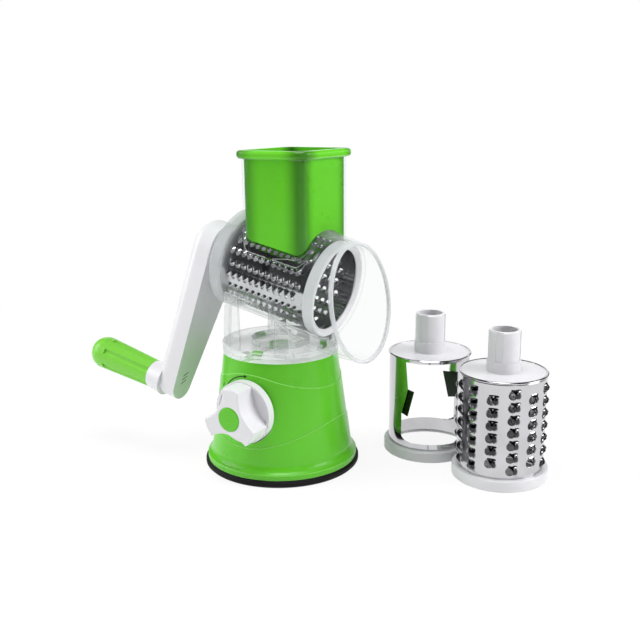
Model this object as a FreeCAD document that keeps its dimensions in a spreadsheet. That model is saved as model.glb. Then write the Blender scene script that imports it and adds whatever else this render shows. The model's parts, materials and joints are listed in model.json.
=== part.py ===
import FreeCAD, Part
import math
import os
import re
import Sketcher

# Rotary cabbage shredder with a suction foot, in millimetres, +Z up.
# The origin is the middle of the suction foot's underside, on the table.
# The drum's mouth points to +X and slopes down, the crank is at -X, the suction knob faces -Y.

os.makedirs("parts", exist_ok=True)
Vector = FreeCAD.Vector
doc = FreeCAD.newDocument("CabbageShredder")

# Driving sizes
SIZES = [
    # clearances
    ("faceGap", 0.3, "between faces of pieces that move past each other"),
    ("runningFit", 0.1, "radial, shaft in its bore"),
    ("seatFit", 0.05, "radial or flat, piece seated in another"),
    ("overcut", 10, "how far cutting shapes reach past the piece"),
    # suction foot
    ("padRadius", 62.5, "rubber foot, outer"),
    ("padThickness", 5.4, "rubber foot, at its rim"),
    ("padLip", 1.4, "rounding of the rubber rim"),
    # base shell
    ("baseTop", 93.4, "height of the base deck"),
    ("padReveal", 1.9, "rubber seen beyond the flange"),
    ("flangeRadius", "=padRadius - padReveal", "foot flange, outer"),
    ("flangeHeight", 4.6, ""),
    ("flareHeight", 5, "hollow curve from flange to cone"),
    ("flareRadius", 7, "radius of that curve"),
    ("coneTopRadius", 46.4, "lowest step's cone, at the deck"),
    ("coneSlope", 0.131, "radius lost per mm of height"),
    ("tierStep", 0.5, "depth of each step of the base"),
    ("upperCrest", 83.9, "top of the upper step, at the front"),
    ("upperBendRadius", 57, "upper step, round part"),
    ("upperFall", 18.4, "upper step, slope of its straight part in degrees"),
    ("lowerCrest", 27.4, "bottom of the lower step, at the front"),
    ("lowerBendRadius", 90, "lower step's arc"),
    ("baseWall", 2.4, ""),
    ("deckThickness", 2.6, ""),
    # suction works
    ("knobHeight", 55.6, "knob axis above the table"),
    ("shaftRadius", 4, "cam shaft"),
    ("camRadius", 6.2, "eccentric on the cam shaft"),
    ("camThrow", 2.12, "offset of the eccentric"),
    ("camHalfLength", 4.6, ""),
    ("camStart", 225, "direction of the eccentric at rest, degrees"),
    ("shaftBack", 13, "shaft's far end behind the middle"),
    ("sleeveRadius", 7, "bearing sleeve inside the base wall"),
    ("sleeveInner", 22, "where the sleeve ends, from the middle"),
    ("ribThickness", 3, "rib that carries the shaft's far end"),
    ("ribHalfWidth", 9, ""),
    ("ribGap", 1.4, "from the eccentric to the rib"),
    ("rodRadius", 3.6, "pull rod"),
    ("rodFlangeRadius", 8, ""),
    ("rodFlangeThickness", 2.6, ""),
    ("yokeHalfDepth", 4, ""),
    ("yokeWall", 3.2, ""),
    ("yokePlay", 0.2, "window over the eccentric"),
    ("plateGap", 1.6, "between pressure plate and wall"),
    ("plateRadius",
     "=coneTopRadius + coneSlope * (baseTop - padThickness - plateThickness)"
     " - 2 * tierStep - baseWall - plateGap",
     "pressure plate"),
    ("plateThickness", 3, ""),
    ("turretRadius", 13, "spring housing on the pressure plate"),
    ("turretHeight", 18, ""),
    ("turretWall", 2.4, ""),
    ("springWire", 1.6, ""),
    ("springRadius", 7, "to the wire's middle"),
    ("springTurns", 4, "whole turns"),
    ("screwEdge", 8.5, "from the plate's edge to its screws"),
    ("screwCircle", "=plateRadius - screwEdge", "pressure plate screws"),
    ("screwRadius", 1.8, ""),
    ("screwHeadRadius", 3.6, ""),
    ("screwLength", 12, ""),
    ("postRadius", 4.4, "screw posts of the base"),
    ("postHeight", 16, ""),
    ("webThickness", 3, "rib from each post to the wall"),
    # suction knob
    ("recessRadius", 25.2, "round recess of the base behind the knob"),
    ("recessSink", 3.75, "depth of the recess at the knob's axis"),
    ("recessDepth", "=coneTopRadius + coneSlope * (baseTop - knobHeight) - recessSink",
     "floor of the recess, from the middle"),
    ("skirtRadius", 24.4, "knob's round skirt"),
    ("skirtReach", 7, "skirt's front edge before the recess floor"),
    ("skirtFront", "=recessDepth + skirtReach", ""),
    ("skirtRim", 2.1, "width of the skirt's raised rim"),
    ("lobeRadius", 23.5, "tips of the three lobes"),
    ("lobeReach", 24.4, "lobes' front before the recess floor"),
    ("lobeFront", "=recessDepth + lobeReach", ""),
    ("scoopRadius", 27.4, "hollow between two lobes"),
    ("scoopNear", 12.5, "hollow's nearest point to the axis"),
    ("scoopReach", 5.2, "hollow's floor before the recess floor"),
    ("scoopFloor", "=recessDepth + scoopReach", ""),
    ("scoopAngle", 25, "direction of the first hollow, degrees"),
    ("knobRound", 1.2, ""),
    ("capRadius", 9.5, "green cap of the knob"),
    ("capThickness", 2, ""),
    ("knobScrewRadius", 1.7, ""),
    ("knobScrewHead", 3.4, ""),
    ("knobScrewLength", 11, ""),
    ("socketReach", 16.4, "end of the shaft before the recess floor"),
    ("knobSocket", "=recessDepth + socketReach", "end of the shaft inside the knob"),
    # twist lock between base and housing
    ("hookStart", -88, "direction of the first hook, degrees"),
    ("hookArc", 12, "length of a hook, degrees"),
    ("twistArc", 18, "turn that frees the housing, degrees"),
    ("arcGap", 1, "spare slot length at each end, degrees"),
    ("hookOuter", 37, ""),
    ("hookNeck", 3, ""),
    ("hookReach", 2.2, "how far a hook reaches over the floor"),
    ("hookHeadHeight", 2.4, ""),
    ("pivotRadius", 9, "locating boss in the middle of the deck"),
    # clear housing
    ("floorRadius", 46.3, ""),
    ("floorThickness", 2.8, ""),
    ("floorLipHeight", 7.4, "rim round the floor"),
    ("clearWall", 2, "wall of the clear moulding"),
    ("legFootOuter", 31.4, "leg's outer edge at the floor, along X"),
    ("legTopOuter", 27.6, "the same, at the barrel"),
    ("legFootInner", 16, ""),
    ("legTopInner", 17.4, ""),
    ("legFace", 34.2, "leg's outside face, along Y"),
    ("legThickness", 2.6, ""),
    ("legReturn", 6.4, "return flange of the leg"),
    ("legTop", 152, "legs are cut here by the barrel"),
    ("drumFrontX", 53, "middle of the drum's front face"),
    ("drumFrontZ", 145.6, ""),
    ("drumTilt", 12.06, "slope of the drum axis, degrees"),
    ("barrelBore", 37.5, ""),
    ("barrelFront", 2, "barrel's reach before the drum"),
    ("barrelRear", 93.5, "barrel's rear face, from the drum's front"),
    ("rearWall", 2.4, ""),
    ("rearCollar", 17, "thrust collar inside the rear wall"),
    ("rearCollarDepth", 2.2, ""),
    ("rimX", 73.4, "middle of the mouth's rim"),
    ("rimZ", 138.5, ""),
    ("rimTilt", 9.3, "lean of the rim's plane, degrees"),
    ("rimRadius", 45.4, ""),
    ("rimBead", 1.3, "rolled edge of the rim"),
    ("bellStart", 46, "where the mouth leaves the barrel, from the drum's front"),
    ("bellMiddle", 26, "where it is nearly full size"),
    ("bellRadius", 43, ""),
    ("bellDrop", 2.6, "middle section's offset below the axis"),
    ("chuteX", 16, "middle of the feed chute"),
    ("chuteHalfX", 28.6, ""),
    ("chuteHalfY", 34.9, ""),
    ("chuteCorner", 9, ""),
    ("chuteWall", 1.4, ""),
    ("chuteTop", 244.2, ""),
    ("chuteFoot", 155, "walls of chute and pusher reach down to here, inside the barrel"),
    # pusher
    ("pusherPlay", 0.4, "between pusher and chute, each side"),
    ("pusherWall", 2.2, ""),
    ("pusherRimHeight", 6, ""),
    ("pusherRimReach", 3.8, "rim beyond the chute's walls"),
    ("pusherRimCorner", 13, ""),
    ("pusherRimRound", 2.4, ""),
    ("pusherOverDrum", 9, "pusher's hollow underside above the steel"),
    # drums
    ("steelRadius", 33.2, ""),
    ("steelThickness", 0.9, ""),
    ("drumLength", 88.2, "front face to cap, drum in use"),
    ("spareLength", 85, "the same, spare drums"),
    ("hubEnd", 117, "front face to the hub's end"),
    ("ringRadius", 37, "white front ring"),
    ("ringHeight", 9, ""),
    ("ringLip", 3, "ring's lip that the steel stands on"),
    ("ringMouth", 34.6, "ring's bore at the front"),
    ("capDiscThickness", 3.4, ""),
    ("rollRadius", 0.9, "rolled steel edge round the cap"),
    ("hubRadius", 12.2, ""),
    ("hubFootRadius", 12.9, ""),
    ("hubFootHeight", 9, ""),
    ("hubBore", 9.6, ""),
    ("hubGrooves", 4, "drive grooves round the hub"),
    ("hubGrooveWidth", 6, ""),
    ("hubGrooveDepth", 0.8, ""),
    ("toothRows", 22, "fine drum, rows round it"),
    ("teethPerRow", 12, ""),
    ("toothPitch", 5.45, ""),
    ("firstTooth", 16.9, "from the drum's front"),
    ("toothTurn", -84, "direction of the first row, degrees"),
    ("toothHeight", 1.9, ""),
    ("toothLength", 3.6, ""),
    ("toothWidth", 2.8, ""),
    ("holeColumns", 13, "coarse drum, columns round it"),
    ("holesPerColumn", 7, ""),
    ("holePitch", 9.9, ""),
    ("firstHole", 15.5, "from the drum's bottom"),
    ("holeTurn", -113.4, "direction of the first column, degrees"),
    ("holeReach", 3.4, "opening before the hood"),
    ("hoodLean", 45, "hoods point this way up from level, degrees"),
    ("hoodLength", 5.2, ""),
    ("hoodHalfWidth", 3, ""),
    ("hoodHeight", 2.5, ""),
    ("hoodWall", 0.6, ""),
    ("windowLow", 14, "slicing drum, window's lower edge"),
    ("windowHigh", 82, "window's upper edge"),
    ("windowHalf", 31.2, "window's half width, across"),
    ("windowTop", 29.6, "cutting side at the top, across"),
    ("windowNotch", 28.5, "cutting side over the blade, across"),
    ("windowTurn", 52, "direction of the first window, degrees"),
    ("windowCorner", 5.5, ""),
    ("bladeLow", 38, "blade's lower end"),
    ("bladeHigh", 60, "blade's upper end"),
    ("bladeSlant", 2, "drop of the blade's ends towards the edge"),
    ("bladeSeat", 3, "part of the blade that lies under the steel"),
    ("bladeReach", 5, "blade beyond the steel"),
    # spare drums on the table
    ("shredderX", 166.2, ""),
    ("shredderY", 56.1, ""),
    ("slicerX", 95.1, ""),
    ("slicerY", 80, ""),
    # crank
    ("armFront", 106.2, "arm's front face, from the drum's front"),
    ("armDepth", 20.7, ""),
    ("armHub", 23.1, "radius round the drum axis"),
    ("armEnd", 11.2, "radius round the grip axis"),
    ("armLength", 116, "between the two axes"),
    ("armLean", 17.6, "lean of the arm, degrees"),
    ("armRound", 9, "rounding of the rear edges"),
    ("armWall", 2.4, ""),
    ("armRearWall", 4, ""),
    ("neckRadius", 19, "collar that meets the barrel"),
    ("coverThickness", 2.2, ""),
    ("coverInset", 1.1, "arm's edge left round the cover"),
    ("markLength", 6, "three slanted marks on the cover"),
    ("markWidth", 0.9, ""),
    ("markDepth", 0.5, ""),
    ("stubRadius", 13.2, "conical stub, at the arm"),
    ("stubEnd", 135.9, ""),
    ("gripStartRadius", 11.6, ""),
    ("gripEndRadius", 13.6, ""),
    ("gripLength", 52.6, "to the round end's middle"),
    ("fluteCount", 6, ""),
    ("fluteRadius", 3.4, ""),
    ("fluteDepth", 1.5, ""),
    ("fluteLength", 47, "open at the arm's end"),
    ("axleRadius", 3, ""),
    ("axleHead", 4.9, ""),
    ("axleHeadLength", 4.4, ""),
    ("axleReach", 40, "axle beyond the stub, to its head"),
]

sheet = doc.addObject("Spreadsheet::Sheet", "sizes")
for row, (alias, value, note) in enumerate(SIZES, start=1):
    sheet.setAlias("A%d" % row, alias)
    sheet.set("B%d" % row, note)
for row, (alias, value, note) in enumerate(SIZES, start=1):
    sheet.set("A%d" % row, str(value))
doc.recompute()
ALIASES = {alias for alias, value, note in SIZES}


# Helpers
def bound(text):
    """An expression in plain size names, as FreeCAD wants it."""
    return re.sub(r"[A-Za-z]\w*", lambda m: "sizes." + m.group() if m.group() in ALIASES else m.group(),
                  str(text))


def number(text):
    """The value of such an expression now."""
    return float(sheet.evalExpression(bound(text)))


def drive(thing, **properties):
    """Bind properties of an object to expressions; a dot in a name is written as __."""
    for name, text in properties.items():
        thing.setExpression(name.replace("__", "."), bound(text))


def make(kind, name, **properties):
    thing = doc.addObject(kind, name)
    thing.Label = name
    drive(thing, **properties)
    return thing


def place(thing, axis, angle, x=0, y=0, z=0):
    """Give an object a placement whose angle and position follow the sheet."""
    thing.Placement = FreeCAD.Placement(Vector(0, 0, 0), FreeCAD.Rotation(Vector(*axis), 1))
    drive(thing, Placement__Rotation__Angle=angle, Placement__Base__x=x, Placement__Base__y=y,
          Placement__Base__z=z)
    return thing


def alongDrum(thing):
    """Local frame: origin at the middle of the drum's front face, Z to the crank, X up, Y as it is."""
    return place(thing, (0, 1, 0), "drumTilt - 90", "drumFrontX", 0, "drumFrontZ")


def alongKnob(thing):
    """Local frame: Z out to the front from the middle of the base, X to the right, Y up."""
    return place(thing, (1, 0, 0), 90, 0, 0, "knobHeight")


def outline(sketch, corners):
    """A closed outline. A corner is (x, y), or (x, y, radius, side) where an arc leaves it.

    side is 1 with the arc's centre on the left of the way to the next corner, -1 on the right.
    """
    first = sketch.GeometryCount
    points = [Vector(number(c[0]), number(c[1]), 0) for c in corners]
    ends = []
    for index, corner in enumerate(corners):
        start, stop = points[index], points[(index + 1) % len(points)]
        if len(corner) == 2:
            sketch.addGeometry(Part.LineSegment(start, stop), False)
            ends.append((1, 2))
            continue
        radius, side = number(corner[2]), corner[3]
        chord = stop - start
        rise = math.sqrt(max(radius ** 2 - (chord.Length / 2) ** 2, 0))
        left = Vector(-chord.y, chord.x, 0).normalize()
        centre = start + chord * 0.5 + left * rise * side
        circle = Part.Circle(centre, Vector(0, 0, 1), radius)
        turn = [math.atan2(p.y - centre.y, p.x - centre.x) for p in (start, stop)]
        if side < 0:
            turn.reverse()
        sketch.addGeometry(Part.ArcOfCircle(circle, turn[0], turn[1]), False)
        ends.append((1, 2) if side > 0 else (2, 1))
    for index in range(len(corners)):
        after = (index + 1) % len(corners)
        sketch.addConstraint(Sketcher.Constraint("Coincident", first + index, ends[index][1], first + after,
                                                 ends[after][0]))
    for index, corner in enumerate(corners):
        geometry, end, point = first + index, ends[index][0], points[index]
        fix(sketch, "DistanceX", (-1, 1, geometry, end), point.x, corner[0])
        fix(sketch, "DistanceY", (-1, 1, geometry, end), point.y, corner[1])
        if len(corner) > 2:
            fix(sketch, "Radius", (geometry,), number(corner[2]), corner[2])
    return sketch


def fix(sketch, kind, where, value, text):
    """One dimension of a sketch, bound to its expression."""
    index = sketch.addConstraint(Sketcher.Constraint(kind, *where, value))
    sketch.setExpression("Constraints[%d]" % index, bound(text))


def circle(sketch, x, y, radius):
    geometry = sketch.addGeometry(Part.Circle(Vector(number(x), number(y), 0), Vector(0, 0, 1),
                                              number(radius)), False)
    fix(sketch, "DistanceX", (-1, 1, geometry, 3), number(x), x)
    fix(sketch, "DistanceY", (-1, 1, geometry, 3), number(y), y)
    fix(sketch, "Radius", (geometry,), number(radius), radius)
    return sketch


def capsule(sketch, big, small, length, lean):
    """Outline round two circles, the big one at the origin and the small one down the arm."""
    arm, turn = number(length), math.radians(180 + number(lean))
    way = Vector(math.cos(turn), math.sin(turn), 0)
    side = Vector(-way.y, way.x, 0)
    spread = math.acos((number(big) - number(small)) / arm)
    circles = ((Vector(0, 0, 0), number(big)), (way * arm, number(small)))
    touch = [[c + (way * math.cos(spread) + side * s * math.sin(spread)) * r for s in (1, -1)] for c,
             r in circles]
    base = math.atan2(way.y, way.x)
    hub = sketch.addGeometry(Part.ArcOfCircle(Part.Circle(circles[0][0], Vector(0, 0, 1), circles[0][1]),
                                              base + spread, base - spread + 2 * math.pi), False)
    end = sketch.addGeometry(Part.ArcOfCircle(Part.Circle(circles[1][0], Vector(0, 0, 1), circles[1][1]),
                                              base - spread, base + spread), False)
    left = sketch.addGeometry(Part.LineSegment(touch[0][0], touch[1][0]), False)
    right = sketch.addGeometry(Part.LineSegment(touch[0][1], touch[1][1]), False)
    for arc, arcEnd, line, lineEnd in ((hub, 1, left, 1), (end, 2, left, 2), (hub, 2, right, 1),
                                       (end, 1, right, 2)):
        sketch.addConstraint(Sketcher.Constraint("Tangent", arc, arcEnd, line, lineEnd))
    sketch.addConstraint(Sketcher.Constraint("Coincident", hub, 3, -1, 1))
    fix(sketch, "Radius", (hub,), number(big), big)
    fix(sketch, "Radius", (end,), number(small), small)
    fix(sketch, "DistanceX", (-1, 1, end, 3), circles[1][0].x, "-(%s) * cos(%s)" % (length, lean))
    fix(sketch, "DistanceY", (-1, 1, end, 3), circles[1][0].y, "-(%s) * sin(%s)" % (length, lean))
    return sketch


def roundedBox(sketch, x, halfX, halfY, corner):
    """Rectangle with round corners, about (x, 0)."""
    r, cut = corner, {"l": "%s - (%s)" % (x, halfX), "r": "%s + (%s)" % (x, halfX), "b": "-(%s)" % halfY,
                      "t": halfY}
    return outline(sketch, [
        ("%s + (%s)" % (cut["l"], r), cut["b"]), ("%s - (%s)" % (cut["r"], r), cut["b"], r, 1),
        (cut["r"], "%s + (%s)" % (cut["b"], r)), (cut["r"], "%s - (%s)" % (cut["t"], r), r, 1),
        ("%s - (%s)" % (cut["r"], r), cut["t"]), ("%s + (%s)" % (cut["l"], r), cut["t"], r, 1),
        (cut["l"], "%s - (%s)" % (cut["t"], r)), (cut["l"], "%s + (%s)" % (cut["b"], r), r, 1)])


def newBody(name):
    body = doc.addObject("PartDesign::Body", name)
    body.Label = name
    return body


def newSketch(body, name, role="XY_Plane", lift=0):
    """A sketch on one of the body's own planes, lifted along that plane's normal."""
    sketch = body.newObject("Sketcher::SketchObject", name)
    plane = [item for item in body.Origin.OriginFeatures if item.Role == role][0]
    sketch.AttachmentSupport = [(plane, "")]
    sketch.MapMode = "FlatFace"
    if lift != 0:
        drive(sketch, AttachmentOffset__Base__z=lift)
    return sketch


def pad(body, sketch, length, name="pad", kind="PartDesign::Pad", reverse=False, both=False):
    feature = body.newObject(kind, name)
    feature.Profile = sketch
    feature.Reversed = reverse
    feature.Midplane = both
    drive(feature, Length=length)
    sketch.Visibility = False
    doc.recompute()
    return feature


def pocket(body, sketch, length, name="pocket", reverse=False, both=False):
    """A pocket; it has to remove something, or its direction is wrong."""
    before = body.Shape.Volume
    feature = pad(body, sketch, length, name, "PartDesign::Pocket", reverse, both)
    if body.Shape.Volume > before - 1e-3:
        raise ValueError("%s of %s cuts nothing" % (name, body.Label))
    return feature


def turned(body, corners, name="turn", kind="PartDesign::Revolution", angle=360):
    """Turn an outline in (radius, height) about the body's Z axis."""
    sketch = outline(newSketch(body, name + "_outline", "XZ_Plane"), corners)
    feature = body.newObject(kind, name)
    feature.Profile = sketch
    feature.ReferenceAxis = (sketch, ["V_Axis"])
    drive(feature, Angle=angle)
    sketch.Visibility = False
    doc.recompute()
    return feature


def around(body, features, count, name="copies"):
    """Copies of features round the body's Z axis."""
    pattern = body.newObject("PartDesign::PolarPattern", name)
    pattern.Originals = features
    pattern.Axis = ([item for item in body.Origin.OriginFeatures if item.Role == "Z_Axis"][0], [""])
    pattern.Angle = 360
    drive(pattern, Occurrences=count)
    body.Tip = pattern
    doc.recompute()
    return pattern


def edgesAt(shape, level, smallest=0.0, axis="z"):
    """Names of the edges that lie wholly at one height."""
    found = []
    for index, edge in enumerate(shape.Edges, start=1):
        if all(abs(getattr(v.Point, axis) - level) < 1e-4 for v in edge.Vertexes) and edge.Length > smallest:
            box = edge.BoundBox
            if abs(getattr(box, axis.upper() + "Max") - getattr(box, axis.upper() + "Min")) < 1e-3:
                found.append("Edge%d" % index)
    return found


def soften(body, radius, edges, name="round"):
    solid = body.Tip
    feature = body.newObject("PartDesign::Fillet", name)
    feature.Base = (solid, edges)
    drive(feature, Radius=radius)
    body.Tip = feature
    doc.recompute()
    if "Invalid" in feature.State:
        raise ValueError("%s of %s fails" % (name, body.Label))
    return feature


def cylinder(name, radius, height, z=0, x=0, y=0):
    solid = make("Part::Cylinder", name, Radius=radius, Height=height)
    drive(solid, Placement__Base__x=x, Placement__Base__y=y, Placement__Base__z=z)
    return solid


def fuse(name, pieces):
    joined = make("Part::MultiFuse", name)
    joined.Shapes = pieces
    joined.Refine = True
    return joined


def cut(name, piece, tools):
    """One piece less one or more tools."""
    result = make("Part::Cut", name)
    result.Base = piece
    result.Tool = tools[0] if len(tools) == 1 else fuse(name + "_tools", tools)
    result.Refine = True
    return result


def common(name, pieces):
    kept = make("Part::MultiCommon", name)
    kept.Shapes = pieces
    return kept


def group(name, pieces):
    """Several separate solids in one node."""
    held = make("Part::Compound", name)
    held.Links = pieces
    return held


def solidOf(faces):
    """A solid from flat faces given as lists of corners."""
    shell = Part.Shell([Part.Face(Part.makePolygon(face + face[:1])) for face in faces])
    solid = Part.Solid(shell)
    if solid.Volume < 0:
        solid.reverse()
    return solid


def facetTube(rings):
    """A solid through rings of corners, with flat ends."""
    faces = [rings[0], rings[-1]]
    count = len(rings[0])
    for ring, after in zip(rings, rings[1:]):
        for k in range(count):
            m = (k + 1) % count
            faces += [[ring[k], ring[m], after[m]], [ring[k], after[m], after[k]]]
    return solidOf(faces)


nodes = []


def node(thing):
    """Register a finished sub-part under its own label."""
    nodes.append(thing)
    return thing


# Suction foot
body = newBody("suction_pad")
turned(body, [
    (0, 0), ("padRadius - padLip", 0), ("padRadius", "padLip"),
    ("padRadius", "padThickness - padLip"), ("padRadius - padLip", "padThickness"), (0, "padThickness")])
node(body)

# base shell: three steps on one cone, hollow, open below
coneAt = "(coneTopRadius + coneSlope * (baseTop - (%s)))"
baseFoot = "padThickness + seatFit"
flareFoot = "(%s + flangeHeight)" % baseFoot
flareTop = "(%s + flareHeight + 2)" % flareFoot
body = baseSolid = newBody("base_solid")
turned(body, [
    (0, baseFoot), ("flangeRadius", baseFoot), ("flangeRadius", flareFoot + " - 0.6"),
              ("flangeRadius - 0.6", flareFoot, "flareRadius", -1),
    (coneAt % flareTop, flareTop), ("coneTopRadius + coneSlope * 0.8", "baseTop - 0.8"),
              ("coneTopRadius - 0.8", "baseTop"),
    (0, "baseTop")])

stepCuts = []
STEPS = (("upper", "upperCrest", -1, 2), ("lower", "lowerCrest", 1, 1))
for label, crest, way, count in STEPS:
    ring = newBody(label + "_step_ring")
    reduced = "%s - %d * tierStep" % (coneAt, count)
    turned(ring, [(reduced % "lowerCrest - 1", "lowerCrest - 1"), ("flangeRadius + 20", "lowerCrest - 1"),
                  ("flangeRadius + 20", "baseTop + 1"), (reduced % "baseTop + 1", "baseTop + 1")])
    region = newBody(label + "_step_region")
    if way < 0:
        bend = "upperBendRadius * sin(upperFall)"
        low = "upperCrest - upperBendRadius * (1 - cos(upperFall))"
        far = "%s - (80 - %s) * tan(upperFall)" % (low, bend)
        corners = [(80, far), (80, "baseTop + 5"), (-80, "baseTop + 5"), (-80, far),
                   ("-(%s)" % bend, low, "upperBendRadius", -1),
                   (bend, low)]
    else:
        high = "lowerCrest + lowerBendRadius - sqrt(lowerBendRadius ^ 2 - 6400)"
        corners = [(80, high), (80, "baseTop + 5"), (-80, "baseTop + 5"), (-80, high, "lowerBendRadius", 1)]
    pad(region, outline(newSketch(region, label + "_step_outline", "XZ_Plane"), corners), 160, both=True)
    stepCuts.append(common(label + "_step", [ring, region]))

body = newBody("base_hollow_cone")
inside = "%s - 2 * tierStep - baseWall"
turned(body, [(0, "padThickness - 1"), (inside % (coneAt % "padThickness - 1"), "padThickness - 1"),
              (inside % (coneAt % "baseTop - deckThickness"), "baseTop - deckThickness"),
              (0, "baseTop - deckThickness")])
recessBack = place(make("Part::Cylinder", "recess_back", Radius="recessRadius + baseWall",
                        Height="padRadius - recessDepth + overcut"),
                   (1, 0, 0), 90, 0, "-(recessDepth - baseWall)", "knobHeight")
sleeve = place(make("Part::Cylinder", "shaft_sleeve", Radius="sleeveRadius",
                    Height="recessDepth - sleeveInner"),
               (1, 0, 0), 90, 0, "-sleeveInner", "knobHeight")
ribNear = "(camHalfLength + ribGap)"
rib = make("Part::Box", "shaft_rib", Length="2 * ribHalfWidth", Width="ribThickness",
           Height="baseTop - knobHeight + ribHalfWidth - 1")
drive(rib, Placement__Base__x="-ribHalfWidth", Placement__Base__y=ribNear,
      Placement__Base__z="knobHeight - ribHalfWidth")
posts = []
for index in range(3):
    angle = "(%d)" % (90 + 120 * index)
    posts.append(cylinder("screw_post_%d" % (index + 1), "postRadius", "postHeight",
                          "padThickness + plateThickness + 1",
                          "screwCircle * cos%s" % angle, "screwCircle * sin%s" % angle))
# each post is tied to the wall by a web that follows it
webs = []
for index in range(3):
    web = make("Part::Box", "post_web_%d" % (index + 1), Length="plateGap + baseWall + screwEdge + 2",
               Width="webThickness", Height="postHeight")
    angle = 90 + 120 * index
    place(web, (0, 0, 1), angle, "screwCircle * cos(%d) + webThickness / 2 * sin(%d)" % (angle, angle),
          "screwCircle * sin(%d) - webThickness / 2 * cos(%d)" % (angle, angle),
          "padThickness + plateThickness + 1")
    webs.append(web)
webTrim = newBody("web_trim")
trimmed = coneAt + " - 2 * tierStep - baseWall / 2"
trimTop = "padThickness + plateThickness + postHeight + 2"
turned(webTrim, [(0, "padThickness"), (trimmed % "padThickness", "padThickness"),
                 (trimmed % trimTop, trimTop), (0, trimTop)])
innerWorks = fuse("base_inner_works", [sleeve, rib] + posts
                  + [common("post_webs", [fuse("webs_raw", webs), webTrim])])
hollow = cut("base_hollow", body, [recessBack])

hook = newBody("twist_hooks")
headTop = "baseTop + floorThickness + 0.4 + hookHeadHeight"
turned(hook, [("hookOuter - hookNeck", "baseTop - 1"), ("hookOuter", "baseTop - 1"), ("hookOuter", headTop),
              ("hookOuter - hookNeck - hookReach", headTop),
              ("hookOuter - hookNeck - hookReach", "baseTop + floorThickness + 0.4"),
              ("hookOuter - hookNeck", "baseTop + floorThickness + 0.4")], angle="hookArc")
around(hook, [hook.Tip], 3)
place(hook, (0, 0, 1), "hookStart - hookArc / 2")
pivot = cylinder("pivot_boss", "pivotRadius", "floorThickness + 3", "baseTop - 1")
recess = place(make("Part::Cylinder", "knob_recess", Radius="recessRadius",
                    Height="padRadius - recessDepth + overcut"), (1, 0, 0), 90, 0, "-recessDepth",
               "knobHeight")
shaftBore = place(make("Part::Cylinder", "shaft_bore", Radius="shaftRadius + runningFit",
                       Height="shaftBack + recessDepth + overcut"),
                  (1, 0, 0), 90, 0, "shaftBack + 2", "knobHeight")
postBores = [cylinder("post_bore_%d" % (i + 1), "screwRadius", "screwLength + 3",
                      "padThickness + plateThickness - 1",
                      "screwCircle * cos(%d)" % (90 + 120 * i), "screwCircle * sin(%d)" % (90 + 120 * i))
             for i in range(3)]
shell = cut("base_hollowed", baseSolid, [hollow] + stepCuts)
node(cut("base_shell", fuse("base_joined", [shell, innerWorks, hook, pivot]),
         [recess, shaftBore] + postBores))

# pressure plate with its spring housing
plateFoot = "padThickness + 0.8"
turretTop = "(%s + turretHeight)" % plateFoot
body = newBody("base_plate")
turned(body, [
    ("turretRadius - turretWall", plateFoot), ("plateRadius", plateFoot),
              ("plateRadius", plateFoot + " + plateThickness"),
    ("turretRadius", plateFoot + " + plateThickness"), ("turretRadius", turretTop),
              ("rodRadius + faceGap", turretTop),
    ("rodRadius + faceGap", turretTop + " - turretWall"),
              ("turretRadius - turretWall", turretTop + " - turretWall")])
holes = newSketch(body, "screw_holes", "XY_Plane", plateFoot + " + plateThickness")
for index in range(3):
    circle(holes, "screwCircle * cos(%d)" % (90 + 120 * index),
           "screwCircle * sin(%d)" % (90 + 120 * index), "screwRadius + seatFit")
pocket(body, holes, "plateThickness + 1", "screw_hole_cut")
node(body)

screws = []
for index in range(3):
    screw = newBody("base_plate_screw_%d" % (index + 1))
    headTop = plateFoot + " + 1.2"
    turned(screw, [(0, plateFoot + " - 0.6"), ("screwHeadRadius", plateFoot + " - 0.6"),
                   ("screwHeadRadius", plateFoot),
                   ("screwRadius", plateFoot), ("screwRadius", plateFoot + " + screwLength"),
                   (0, plateFoot + " + screwLength")])
    place(screw, (0, 0, 1), 0, "screwCircle * cos(%d)" % (90 + 120 * index),
          "screwCircle * sin(%d)" % (90 + 120 * index))
    screws.append(screw)
node(group("base_plate_screws", screws))

# pull rod: flange in the rubber's middle, rod, and a yoke round the eccentric
flangeFoot = "padThickness + seatFit"
windowMid = "(knobHeight + camThrow * sin(camStart))"
windowHalf = "(camRadius + yokePlay)"
body = newBody("pull_rod")
turned(body, [(0, flangeFoot), ("rodFlangeRadius", flangeFoot),
              ("rodFlangeRadius", flangeFoot + " + rodFlangeThickness"),
              ("rodRadius", flangeFoot + " + rodFlangeThickness"),
              ("rodRadius", "%s - %s - yokeWall + 0.5" % (windowMid, windowHalf)),
              (0, "%s - %s - yokeWall + 0.5" % (windowMid, windowHalf))])
yokeHalf = "(camRadius + camThrow + 0.4 + yokeWall)"
side = newSketch(body, "yoke_outline", "XZ_Plane")
outline(side, [("-" + yokeHalf, "%s - %s - yokeWall" % (windowMid, windowHalf)),
               (yokeHalf, "%s - %s - yokeWall" % (windowMid, windowHalf)),
               (yokeHalf, "%s + %s + yokeWall" % (windowMid, windowHalf)),
               ("-" + yokeHalf, "%s + %s + yokeWall" % (windowMid, windowHalf))])
pad(body, side, "2 * yokeHalfDepth", "yoke", both=True)
side = newSketch(body, "window_outline", "XZ_Plane")
outline(side, [("yokeWall - " + yokeHalf, "%s - %s" % (windowMid, windowHalf)),
               (yokeHalf + " - yokeWall", "%s - %s" % (windowMid, windowHalf)),
               (yokeHalf + " - yokeWall", "%s + %s" % (windowMid, windowHalf)),
               ("yokeWall - " + yokeHalf, "%s + %s" % (windowMid, windowHalf))])
pocket(body, side, "2 * yokeHalfDepth + 2", "window", both=True)
node(body)

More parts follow.
